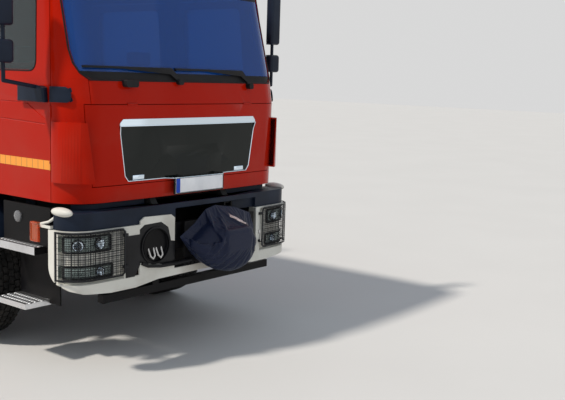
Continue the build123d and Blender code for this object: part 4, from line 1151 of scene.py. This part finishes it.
class FIREENGINE_OT_fittings(bpy.types.Operator):
    """Adds the jaw's black plate and box plate as painted shade, the jaw's loops and lip, the studs, small
    lamps, the pale ball on each bumper corner as a painted highlight with its arm, lenses, roof and radiator
    """

    bl_idname = "fire_engine.fittings"
    bl_label = "Fit the small fittings"

    def execute(self, context):
        self.jaw()
        self.treads(context.scene.fire_engine_fittings.studs)
        self.lenses()
        self.radiator()
        for side_name, side in SIDES:
            self.corner(side_name, side)
        return {"FINISHED"}

    def jaw(self):
        mouth = (JAW_X, JAW_Z, JAW_HOLE)
        # The jaw's plate and the side box's plate are black sheets on the bumper's face: painted shade where
        # the openings behind them are dark.
        plates = (("jaw_shade_plate", JAW_SHADE_PLATE, 0.0012, mouth), ("side_box_shade", SIDE_BOX_SHADE, 0.004, None))
        for name, outline, lift, hole in plates:
            plate = wall_plate(outline, lift, hole=hole)
            made = piece_from(plate, name, "chassis", "lamp_black")
            thicken(made, 0.010)
            ease_edges(made, 0.003, 30.0)
        funnel = lathe_into(bmesh.new(), JAW_FUNNEL, at(JAW_X, -0.066, JAW_Z), (0, 1, 0))
        piece_from(funnel, "jaw_mouth", "chassis", "lamp_black")
        rim = bmesh.new()
        turned = Matrix.Translation(at(JAW_X, -0.080, JAW_Z)) @ Matrix.Rotation(math.pi / 2, 4, "X")
        bmesh.ops.create_cone(rim, cap_ends=False, segments=48, radius1=JAW_RIM_RADIUS,
                              radius2=JAW_RIM_RADIUS, depth=0.012, matrix=turned)
        bmesh.ops.solidify(rim, geom=rim.faces[:], thickness=0.006)
        piece_from(rim, "jaw_rim", "chassis", "chassis_black")
        for k, middle in enumerate(JAW_LOOPS):
            path = [at(JAW_X + middle + x, s, JAW_Z + z) for x, s, z in JAW_LOOP]
            tube("jaw_loop_" + str(k), path, 0.0085, "chassis", "plain_metal")
        tube("jaw_lip", [at(*place) for place in JAW_LIP], 0.013, "chassis", "seal_rubber")

    def treads(self, studs):
        """The raised round holes in the steps' treads, in three staggered rows."""
        for side_name, side in SIDES:
            places = []
            for s0, s1 in STEP_ENDS:
                for first, outer, z in STEP_TREADS:
                    length = s1 - s0 - first
                    for row, inset in enumerate(STUD_ROWS):
                        for k in range(studs):
                            s = s0 + first + length * (k + (0.5 if row == 1 else 0.25)) / studs
                            places.append(at(side * (outer - inset), s, z))
            stud = lathe_into(bmesh.new(), STUD_PROFILE, (0, 0, 0), (0, 0, 1), 12)
            work = copies_into(bmesh.new(), stud, places)
            piece_from(work, "tread_studs_" + side_name, "chassis", "tread_metal")

    def corner(self, side_name, side):
        """The pale ball on the bumper's corner, a painted highlight where its top catches the light, with its
        arm; the marker's rim, and the small lamps on the skirt.
        """
        # The flattened cream ball stands for the light on the bumper corner's top: a painted highlight; the arm
        # is a real part.
        highlight_and_arm = bmesh.new()
        middle = on_side(side, HIGHLIGHT_CAP_PLACE)
        stretched = Matrix.Translation(middle) @ Matrix.Diagonal(HIGHLIGHT_CAP_STRETCH)
        bmesh.ops.create_uvsphere(highlight_and_arm, u_segments=20, v_segments=10, radius=0.050, matrix=stretched)
        for start, end in zip(CAP_ARM, CAP_ARM[1:]):
            rod_into(highlight_and_arm, on_side(side, start), on_side(side, end), 0.011, 12)
        piece_from(highlight_and_arm, "corner_highlight_and_arm_" + side_name, "chassis", "cream_white", 50.0)
        (s0, s1), (z0, z1) = MARKER_S, MARKER_Z
        rim = [(MARKER_X, s0, z0), (MARKER_X, s1, z0), (MARKER_X, s1, z1), (MARKER_X, s0, z1)]
        bars = bmesh.new()
        for start, end in zip(rim, rim[1:] + rim[:1]):
            rod_into(bars, on_side(side, start), on_side(side, end), 0.0055, 8)
        piece_from(bars, "marker_rim_" + side_name, "chassis", "amber_lens")
        lamp = lathe_into(bmesh.new(), SKIRT_LAMP_PROFILE, on_side(side, SKIRT_LAMP), (side, 0, 0), 28)
        piece_from(lamp, "skirt_lamp_" + side_name, "chassis", "clear_lens")
        small = side_box_into(bmesh.new(), side, *STEP_LAMP, 0.004)
        piece_from(small, "step_lamp_" + side_name, "chassis", "clear_lens")

    def lenses(self):
        """The rear lamps' and beacons' lenses, the floodlights' faces and the roof's floor plate."""
        for side_name, side in SIDES:
            for name, inner, outer in REAR_LENSES:
                planes = between(*REAR_LENS_Z, side, inner, outer)
                patch("rear_" + name + "_" + side_name, "rear_lamps", planes, (0, 1, 0), 0.003,
                      name + "_lens", 0.8)
            planes = between(*BEACON_Z, side, BEACON_INNER)
            patch("beacon_lens_" + side_name, "rear_lamps", planes, (0, 1, 0), 0.002, "blue_lens", 0.5)
        for name, y, material in (("front", -1, "reflector"), ("rear", 1, "lamp_black")):
            patch("flood_" + name, "mast_head", between(*FLOODLIGHT_Z), (0, y, 0), 0.0015, material, 0.9)
        patch("roof_floor", "body_shell", between(ROOF_FLOOR_Z, None), (0, 0, 1), 0.0015, "roof_plate", 0.9)

    def radiator(self):
        """The radiator between the rails, behind the bumper."""
        work = bmesh.new()
        for low, high, rounding, segments in RADIATOR:
            box_into(work, at(*low), at(*high), rounding, segments)
        for k in range(RADIATOR_FINS):
            x = RADIATOR_HALF * (2 * k / (RADIATOR_FINS - 1) - 1)
            box_into(work, at(x - 0.0012, 0.334, 0.775), at(x + 0.0012, 0.342, 1.105))
        piece_from(work, "radiator", "chassis", "chassis_black")


class FIREENGINE_PG_fittings(bpy.types.PropertyGroup):
    studs: bpy.props.IntProperty(name="Studs", description="Raised holes in each row of a tread", default=12)


# The wheels

TYRE_RADIUS = 0.522
RIM_RADIUS = 0.286
TYRE_HALF = 0.149
TREAD_DEPTH = 0.014
CARCASS_RADIUS = TYRE_RADIUS - TREAD_DEPTH
# Half the carcass from the rim to the crown, as (in from the wall, radius)
TYRE_WALL = [(0.042, RIM_RADIUS + 0.001), (0.030, RIM_RADIUS + 0.020), (0.012, RIM_RADIUS + 0.055),
             (0.006, RIM_RADIUS + 0.060), (0.005, RIM_RADIUS + 0.075), (0.0, RIM_RADIUS + 0.098),
             (0.0, RIM_RADIUS + 0.125), (0.006, RIM_RADIUS + 0.170), (0.010, CARCASS_RADIUS - 0.025),
             (0.016, CARCASS_RADIUS - 0.012), (0.030, CARCASS_RADIUS)]
# Each row of tread blocks: its place across the tyre and its width
TREAD_ROWS = ((-0.096, 0.040), (-0.050, 0.034), (0.0, 0.040), (0.050, 0.034), (0.096, 0.040))
BLOCK_SHARE = 0.82
BLOCK_LEAN = 14
# How far each axle's tyres lie from the middle of their node, and its nuts' circle and face
AXLES = {"front": ((0.0,), 0.137, 0.090), "rear": ((-0.165, 0.165), 0.149, 0.049)}
# A washer, a nut and the stud through it: how far out it stands, its radius and its sides
NUT = ((0.004, 0.018, 16), (0.022, 0.0155, 6), (0.030, 0.009, 10))


def tyre_into(work, centre, blocks):
    """A road tyre: a carcass with bulged walls, a rim-protecting rib and five rows of tread blocks."""
    half = [(TYRE_HALF - inset, radius) for inset, radius in TYRE_WALL]
    lathe_into(work, half + [(-x, radius) for x, radius in reversed(half)], centre, (1, 0, 0), 72)
    pitch = math.tau / blocks
    for row, (x, width) in enumerate(TREAD_ROWS):
        odd = row % 2
        size = Matrix.Diagonal((width, pitch * TYRE_RADIUS * BLOCK_SHARE, TREAD_DEPTH * 1.3, 1.0))
        lean = Matrix.Rotation(math.radians(BLOCK_LEAN if odd else -BLOCK_LEAN), 4, "Z")
        lift = Matrix.Translation((x, 0, TYRE_RADIUS - TREAD_DEPTH * 0.68))
        for k in range(blocks):
            turn = Matrix.Rotation(pitch * (k + 0.5 * odd), 4, "X")
            place = Matrix.Translation(centre) @ turn @ lift @ lean
            bmesh.ops.create_cube(work, size=1.0, matrix=place @ size)


class FIREENGINE_OT_wheels(bpy.types.Operator):
    """Makes the tyres with their tread, and the wheel nuts"""

    bl_idname = "fire_engine.wheels"
    bl_label = "Fit the wheels"

    def execute(self, context):
        settings = context.scene.fire_engine_wheels
        for side_name, side in SIDES:
            for axle, (offsets, circle, face) in AXLES.items():
                end = axle + "_" + side_name
                node = "tyre_" + end
                low, high = node_box(node)
                middle = (low + high) / 2
                work = bmesh.new()
                for offset in offsets:
                    tyre_into(work, middle + Vector((offset, 0, 0)), settings.blocks)
                made = piece_from(work, node + "_tread", body_of(node), "tyre_rubber", 34.0)
                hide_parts(node)
                self.nuts(end, side, middle, circle, face, settings.nuts)
        return {"FINISHED"}

    def nuts(self, end, side, middle, circle, face, count):
        work = bmesh.new()
        for k in range(count):
            turn = math.tau * k / count
            foot = middle + Vector((side * face, circle * math.cos(turn), circle * math.sin(turn)))
            for reach, radius, sides in NUT:
                rod_into(work, foot, foot + Vector((side * reach, 0, 0)), radius, sides)
        piece_from(work, "nuts_" + end, body_of("rim_" + end), "plain_metal")


class FIREENGINE_PG_wheels(bpy.types.PropertyGroup):
    blocks: bpy.props.IntProperty(name="Tread blocks", description="Blocks round each row of a tyre's tread",
                                  default=56)
    nuts: bpy.props.IntProperty(name="Nuts", description="Wheel nuts on each wheel", default=10)


# The seats

SEAT_FLOOR = 1.251
SEAT_TOP = 1.671
# Each seat: its name, the x of its middle, half its width, its front and back, and its plinth's top
SEATS = [("driver", 0.62, 0.23, 0.80, 1.28, 1.421), ("passenger", -0.62, 0.23, 0.80, 1.28, 1.421)]
SEATS += [("crew_" + str(k), x, 0.235, 2.09, 2.55, 1.561) for k, x in enumerate((-0.74, -0.245, 0.245, 0.74))]
PUFF = 0.012
PUFF_REACH = 0.008


def cushion(name, low, high, lean, seams):
    """A padded block with rounded edges, a crown and stitched channels, leaning back as it rises."""
    work = box_into(bmesh.new(), low, high, min(high[k] - low[k] for k in range(3)) * 0.34, 4)
    long_edges = [edge for edge in work.edges if edge.calc_length() > 0.09]
    bmesh.ops.subdivide_edges(work, edges=long_edges, cuts=5, use_grid_fill=True)
    centre, half = (low + high) / 2, (high - low) / 2
    for vert in work.verts:
        offset = vert.co - centre
        across = offset.z / half.z if lean else offset.y / half.y
        crown = (1 - (offset.x / half.x) ** 2) * (1 - across ** 2)
        channel = 0.5 + 0.5 * math.cos(seams * math.pi * offset.x / half.x)
        puff = PUFF * max(0.0, crown) * (0.5 + 0.5 * channel)
        if lean:
            if abs(offset.y) > half.y * 0.5:
                vert.co.y += math.copysign(puff, offset.y)
            vert.co.y += (vert.co.z - low.z) * lean
        elif offset.z > 0:
            vert.co.z += puff
    made = piece_from(work, name, "cab", "seat_cloth", 50.0)
    settle(made, 12, PUFF_REACH, gravity=0.0, mass=0.3, use_pressure=True, uniform_pressure_force=3.0,
           tension_stiffness=20.0)


class FIREENGINE_OT_seats(bpy.types.Operator):
    """Makes the two front seats and the crew bench with their cushions, backs, headrests and plinths"""

    bl_idname = "fire_engine.seats"
    bl_label = "Fit the seats"

    def execute(self, context):
        bases = bmesh.new()
        for name, x, half, s0, s1, plinth in SEATS:
            box_into(bases, at(x - half * 0.8, s0 + 0.04, SEAT_FLOOR),
                     at(x + half * 0.8, s1 - 0.03, plinth), 0.012)
            cushion(name + "_cushion", at(x - half, s0 + 0.005, SEAT_TOP - 0.12), at(x + half, s1, SEAT_TOP),
                    0.0, 3)
            cushion(name + "_back", at(x - half * 0.96, s1 - 0.10, SEAT_TOP + 0.005),
                    at(x + half * 0.96, s1 + 0.005, SEAT_TOP + 0.47), 0.12, 3)
            cushion(name + "_headrest", at(x - 0.12, s1 - 0.02, SEAT_TOP + 0.50),
                    at(x + 0.12, s1 + 0.065, SEAT_TOP + 0.62), 0.04, 1)
        plinths = piece_from(bases, "seat_plinths", "cab", "dark_plastic")
        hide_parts("seats")
        return {"FINISHED"}


class FIREENGINE_PG_seats(bpy.types.PropertyGroup):
    fill: bpy.props.FloatProperty(name="Fill", description="How full the cushions are", subtype="FACTOR",
                                  min=0.0, max=1.0, default=0.7)


# The tarpaulin over the winch

# The longest edge of the cloth's mesh, the frames of its run, how far a point may move, and the cloth's
# thickness
CLOTH_EDGE = 0.017
CLOTH_FRAMES = 34
CLOTH_REACH = 0.075
CLOTH_THICKNESS = 0.0015
# The winch's gearbox under the cloth, as two corners (x, s, z)
GEARBOX = ((0.055, -0.312, 0.775), (0.340, -0.080, 0.935))
# The strip's two ends as (x, z), half its width and how far it lies off the cloth
STRIP_ENDS = ((0.235, 1.030), (0.445, 0.905))
STRIP_HALF = 0.014
STRIP_LIFT = 0.003
STRIP_CELLS = 12
HOOK_PLACE = (0.50, 0.880)


def settle(piece, frames, cap, pinned=(), gravity=1.0, **cloth):
    """Runs cloth on a piece for some frames, then keeps the result, within a reach of its start."""
    starts = [vert.co.copy() for vert in piece.data.vertices]
    run = piece.modifiers.new("cloth", "CLOTH")
    run.point_cache.frame_start = 1
    run.point_cache.frame_end = frames
    settings = run.settings
    settings.quality = 6
    settings.effector_weights.gravity = gravity
    if pinned:
        group = piece.vertex_groups.new(name="held")
        group.add(list(pinned), 1.0, "REPLACE")
        settings.vertex_group_mass = "held"
    for name, value in cloth.items():
        setattr(settings, name, value)
    scene = bpy.context.scene
    for moment in range(1, frames + 1):
        scene.frame_set(moment)
    graph = bpy.context.evaluated_depsgraph_get()
    ends = [vert.co.copy() for vert in piece.evaluated_get(graph).data.vertices]
    piece.modifiers.remove(run)
    scene.frame_set(1)
    if pinned:
        piece.vertex_groups.clear()
    for vert, start, stop in zip(piece.data.vertices, starts, ends):
        move = stop - start
        vert.co = start + move * min(1.0, cap / max(move.length, 1e-9))


class FIREENGINE_OT_cover(bpy.types.Operator):
    """Drapes the folded tarpaulin over the winch, with its strip and hook"""

    bl_idname = "fire_engine.cover"
    bl_label = "Drape the cover"

    def execute(self, context):
        work = merged_copy("winch_cover")
        back = [face for face in work.faces if face.normal.y > 0.9]
        bmesh.ops.delete(work, geom=back, context="FACES")
        bmesh.ops.triangulate(work, faces=work.faces)
        for _ in range(5):
            long_edges = [edge for edge in work.edges if edge.calc_length() > CLOTH_EDGE]
            bmesh.ops.subdivide_edges(work, edges=long_edges, cuts=1)
            bmesh.ops.triangulate(work, faces=[face for face in work.faces if len(face.verts) > 3])
            inner = [vert for vert in work.verts if not vert.is_boundary]
            for _ in range(2):
                bmesh.ops.smooth_vert(work, verts=inner, factor=0.5, use_axis_x=True, use_axis_y=True,
                                      use_axis_z=True)
        edge = [k for k, vert in enumerate(work.verts) if vert.is_boundary]
        made = piece_from(work, "tarpaulin", "chassis", "tarpaulin", 80.0)
        self.drape(context, made, edge)
        thicken(made, CLOTH_THICKNESS)
        finer = made.modifiers.new("finer", "SUBSURF")
        finer.levels = 1
        finer.render_levels = 1
        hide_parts("winch_cover")
        strip = self.strip(made)
        hook = self.hook()
        return {"FINISHED"}

    def drape(self, context, cloth, edge):
        """Pulls the cloth over the gearbox with some slack, held at its tied edge."""
        block = box_into(bmesh.new(), at(*GEARBOX[0]), at(*GEARBOX[1]), 0.02, 3)
        mesh = bpy.data.meshes.new("gearbox_form")
        block.to_mesh(mesh)
        block.free()
        form = bpy.data.objects.new("gearbox_form", mesh)
        context.scene.collection.objects.link(form)
        form.modifiers.new("bump", "COLLISION")
        form.collision.thickness_outer = 0.004
        slack = context.scene.fire_engine_cover.slack
        settle(cloth, CLOTH_FRAMES, CLOTH_REACH, edge, mass=0.35, air_damping=2.0, tension_stiffness=25.0,
               compression_stiffness=25.0, shear_stiffness=8.0, bending_stiffness=0.9, shrink_min=-slack,
               use_pressure=True, uniform_pressure_force=-1.6)
        bpy.data.objects.remove(form)
        bpy.data.meshes.remove(mesh)
        for vert in cloth.data.vertices:
            vert.co.y = max(vert.co.y, cad_low[1] + 0.0005)

    def strip(self, cloth):
        """A bright strip sewn on the cloth's upper left."""
        work = bmesh.new()
        bmesh.ops.create_grid(work, x_segments=2, y_segments=STRIP_CELLS, size=1.0)
        rays = BVHTree.FromObject(cloth, bpy.context.evaluated_depsgraph_get())
        start, end = Vector(STRIP_ENDS[0]), Vector(STRIP_ENDS[1])
        across = (end - start).orthogonal().normalized() * STRIP_HALF
        for vert in work.verts:
            place = start.lerp(end, (vert.co.y + 1) / 2) + across * vert.co.x
            hit, normal, _, _ = rays.ray_cast(Vector((place.x, cad_low[1] - 1, place.y)), Vector((0, 1, 0)))
            vert.co = hit - normal * math.copysign(STRIP_LIFT, normal.y)
        face_forwards(work)
        return piece_from(work, "cover_strip", "chassis", "strip_silver", 50.0)

    def hook(self):
        """A ring with a short tail, hanging on the cloth's lower left."""
        place = front_point(*HOOK_PLACE, ["winch_cover"])
        ring = [(-0.006, 0.016), (0.0, 0.022), (0.006, 0.016), (0.0, 0.011), (-0.006, 0.016)]
        work = lathe_into(bmesh.new(), ring, place, (0.6, -1, 0.1), 20)
        rod_into(work, place + Vector((0, -0.004, -0.02)), place + Vector((0.01, -0.006, -0.075)), 0.004, 8)
        return piece_from(work, "cover_hook", "chassis", "plain_metal")


class FIREENGINE_PG_cover(bpy.types.PropertyGroup):
    slack: bpy.props.FloatProperty(name="Slack", description="Share by which the cloth outgrows its form",
                                   subtype="FACTOR", default=0.06)


# Dressing the frame's nodes


class FIREENGINE_OT_dress(bpy.types.Operator):
    """Gives every rigid node of the frame its finish, with eased edges"""

    bl_idname = "fire_engine.dress"
    bl_label = "Dress the frame"

    def execute(self, context):
        for node, material, bevel in DRESSED:
            dress(node, material, bevel * context.scene.fire_engine_edges.scale)
        return {"FINISHED"}


class FIREENGINE_PG_edges(bpy.types.PropertyGroup):
    scale: bpy.props.FloatProperty(name="Edge scale", description="Factor on every rounded edge",
                                   subtype="FACTOR", default=1.0)


# The stage

# The photograph's view: its place, its turns in radians, and its focal length in the photograph's pixels
CAMERA_PLACE = (-4.86669, -4.71686, 2.12136)
CAMERA_YAW = 0.9031
CAMERA_PITCH = 0.1396
CAMERA_ROLL = 0.0311
FOCAL_PIXELS = 883.53
PICTURE_WIDTH = 565
SENSOR_WIDTH = 36.0
SKY_COLOUR = (0.78, 0.87, 1.0, 1.0)
BACKGROUND = (0.69, 0.69, 0.69, 1.0)
SUN_COLOUR = (1.0, 0.94, 0.86)
SUN_FROM = (-0.75, 0.35, 1.0)
SOFTBOX_PLACE = (1.0, -8.0, 5.0)
SOFTBOX_AIM = (0.0, 0.0, 1.2)
FLOOR_HALF = 60.0


class FIREENGINE_PG_stage(bpy.types.PropertyGroup):
    floor_colour: bpy.props.FloatVectorProperty(name="Floor", description="Colour of the floor",
                                                subtype="COLOR", size=3, default=(0.62, 0.61, 0.59))
    sky: bpy.props.FloatProperty(name="Sky", description="Strength of the light all round", default=0.52)
    sun: bpy.props.FloatProperty(name="Sun", description="Strength of the soft sun", default=3.1)
    softbox: bpy.props.FloatProperty(name="Softbox", description="Power of the soft light in front",
                                     subtype="POWER", unit="POWER", default=100.0)


class FIREENGINE_OT_stage(bpy.types.Operator):
    """Lays the floor and sets the background, the lights and the camera"""

    bl_idname = "fire_engine.stage"
    bl_label = "Set the stage"

    def execute(self, context):
        settings = context.scene.fire_engine_stage
        self.floor(context, settings.floor_colour)
        self.sky(context, settings.sky)
        self.lights(context, settings)
        self.camera(context)
        context.scene.view_settings.view_transform = "Standard"
        return {"FINISHED"}

    def floor(self, context, colour):
        work = bmesh.new()
        bmesh.ops.create_grid(work, x_segments=1, y_segments=1, size=FLOOR_HALF)
        mesh = bpy.data.meshes.new("floor")
        work.to_mesh(mesh)
        work.free()
        finish, shader = new_finish("pale_floor", colour, 0.8)
        duller = tuple(c * 0.93 for c in colour)
        tone = blend_colours(finish, noise(finish, 0.7, 6.0), tuple(colour), duller)
        link(finish, tone, shader.inputs["Base Color"])
        mesh.materials.append(finish)
        floor = bpy.data.objects.new("floor", mesh)
        context.scene.collection.objects.link(floor)

    def sky(self, context, strength):
        """The sky lights the object; what is seen, also in metal and through glass, is a plain background."""
        world = bpy.data.worlds.new("soft_sky")
        context.scene.world = world
        world.use_nodes = True
        nodes, links = world.node_tree.nodes, world.node_tree.links
        sky = nodes["Background"]
        sky.inputs["Color"].default_value = SKY_COLOUR
        sky.inputs["Strength"].default_value = strength
        pale = nodes.new("ShaderNodeBackground")
        pale.inputs["Color"].default_value = BACKGROUND
        path = nodes.new("ShaderNodeLightPath")
        mix = nodes.new("ShaderNodeMixShader")
        seen = path.outputs["Is Camera Ray"]
        for kind in ("Is Glossy Ray", "Is Transmission Ray"):
            either = nodes.new("ShaderNodeMath")
            either.operation = "MAXIMUM"
            links.new(seen, either.inputs[0])
            links.new(path.outputs[kind], either.inputs[1])
            seen = either.outputs[0]
        links.new(seen, mix.inputs[0])
        links.new(sky.outputs[0], mix.inputs[1])
        links.new(pale.outputs[0], mix.inputs[2])
        links.new(mix.outputs[0], nodes["World Output"].inputs["Surface"])

    def lights(self, context, settings):
        sun = bpy.data.lights.new("sun", "SUN")
        sun.energy = settings.sun
        sun.angle = math.radians(4)
        sun.color = SUN_COLOUR
        softbox = bpy.data.lights.new("front_softbox", "AREA")
        softbox.energy = settings.softbox
        softbox.size = 12.0
        place = at(*SOFTBOX_PLACE)
        for data, location, source in ((sun, (0, 0, 0), Vector(SUN_FROM)),
                                       (softbox, place, place - at(*SOFTBOX_AIM))):
            light = bpy.data.objects.new(data.name, data)
            light.location = location
            light.rotation_euler = source.to_track_quat("Z", "Y").to_euler()
            context.scene.collection.objects.link(light)

    def camera(self, context):
        forward = Vector((math.sin(CAMERA_YAW) * math.cos(CAMERA_PITCH),
                          math.cos(CAMERA_YAW) * math.cos(CAMERA_PITCH), -math.sin(CAMERA_PITCH)))
        level = Vector((math.cos(CAMERA_YAW), -math.sin(CAMERA_YAW), 0.0))
        upward = level.cross(forward)
        right = level * math.cos(CAMERA_ROLL) + upward * math.sin(CAMERA_ROLL)
        up = upward * math.cos(CAMERA_ROLL) - level * math.sin(CAMERA_ROLL)
        data = bpy.data.cameras.new("photo_view")
        data.sensor_width = SENSOR_WIDTH
        data.lens = FOCAL_PIXELS * SENSOR_WIDTH / PICTURE_WIDTH
        data.clip_end = 300.0
        camera = bpy.data.objects.new("photo_view", data)
        turn = Matrix((right, up, -forward)).transposed().to_4x4()
        camera.matrix_world = Matrix.Translation(at(*CAMERA_PLACE)) @ turn
        context.scene.collection.objects.link(camera)
        context.scene.camera = camera


class FIREENGINE_PT_panel(bpy.types.Panel):
    """Shows a button for each of the fire engine's steps"""

    bl_label = "Fire engine"
    bl_idname = "FIREENGINE_PT_panel"
    bl_space_type = "VIEW_3D"
    bl_region_type = "UI"
    bl_category = "Fire engine"

    def draw(self, context):
        for operator in OPERATORS:
            self.layout.operator(operator.bl_idname)


OPERATORS = (
    FIREENGINE_OT_stage,
    FIREENGINE_OT_dress,
    FIREENGINE_OT_glazing,
    FIREENGINE_OT_lamps,
    FIREENGINE_OT_trim,
    FIREENGINE_OT_fittings,
    FIREENGINE_OT_wheels,
    FIREENGINE_OT_seats,
    FIREENGINE_OT_cover,
)
GROUPS = (
    ("fire_engine_stage", FIREENGINE_PG_stage),
    ("fire_engine_edges", FIREENGINE_PG_edges),
    ("fire_engine_glazing", FIREENGINE_PG_glazing),
    ("fire_engine_lamps", FIREENGINE_PG_lamps),
    ("fire_engine_fittings", FIREENGINE_PG_fittings),
    ("fire_engine_wheels", FIREENGINE_PG_wheels),
    ("fire_engine_seats", FIREENGINE_PG_seats),
    ("fire_engine_cover", FIREENGINE_PG_cover),
)


def register():
    for name, group in GROUPS:
        bpy.utils.register_class(group)
        setattr(bpy.types.Scene, name, bpy.props.PointerProperty(type=group))
    for operator in OPERATORS:
        bpy.utils.register_class(operator)
    bpy.utils.register_class(FIREENGINE_PT_panel)


def unregister():
    bpy.utils.unregister_class(FIREENGINE_PT_panel)
    for operator in reversed(OPERATORS):
        bpy.utils.unregister_class(operator)
    for name, group in reversed(GROUPS):
        delattr(bpy.types.Scene, name)
        bpy.utils.unregister_class(group)


def main():
    register()
    for operator in OPERATORS:
        group, action = operator.bl_idname.split(".")
        getattr(getattr(bpy.ops, group), action)()


if __name__ == "__main__":
    main()
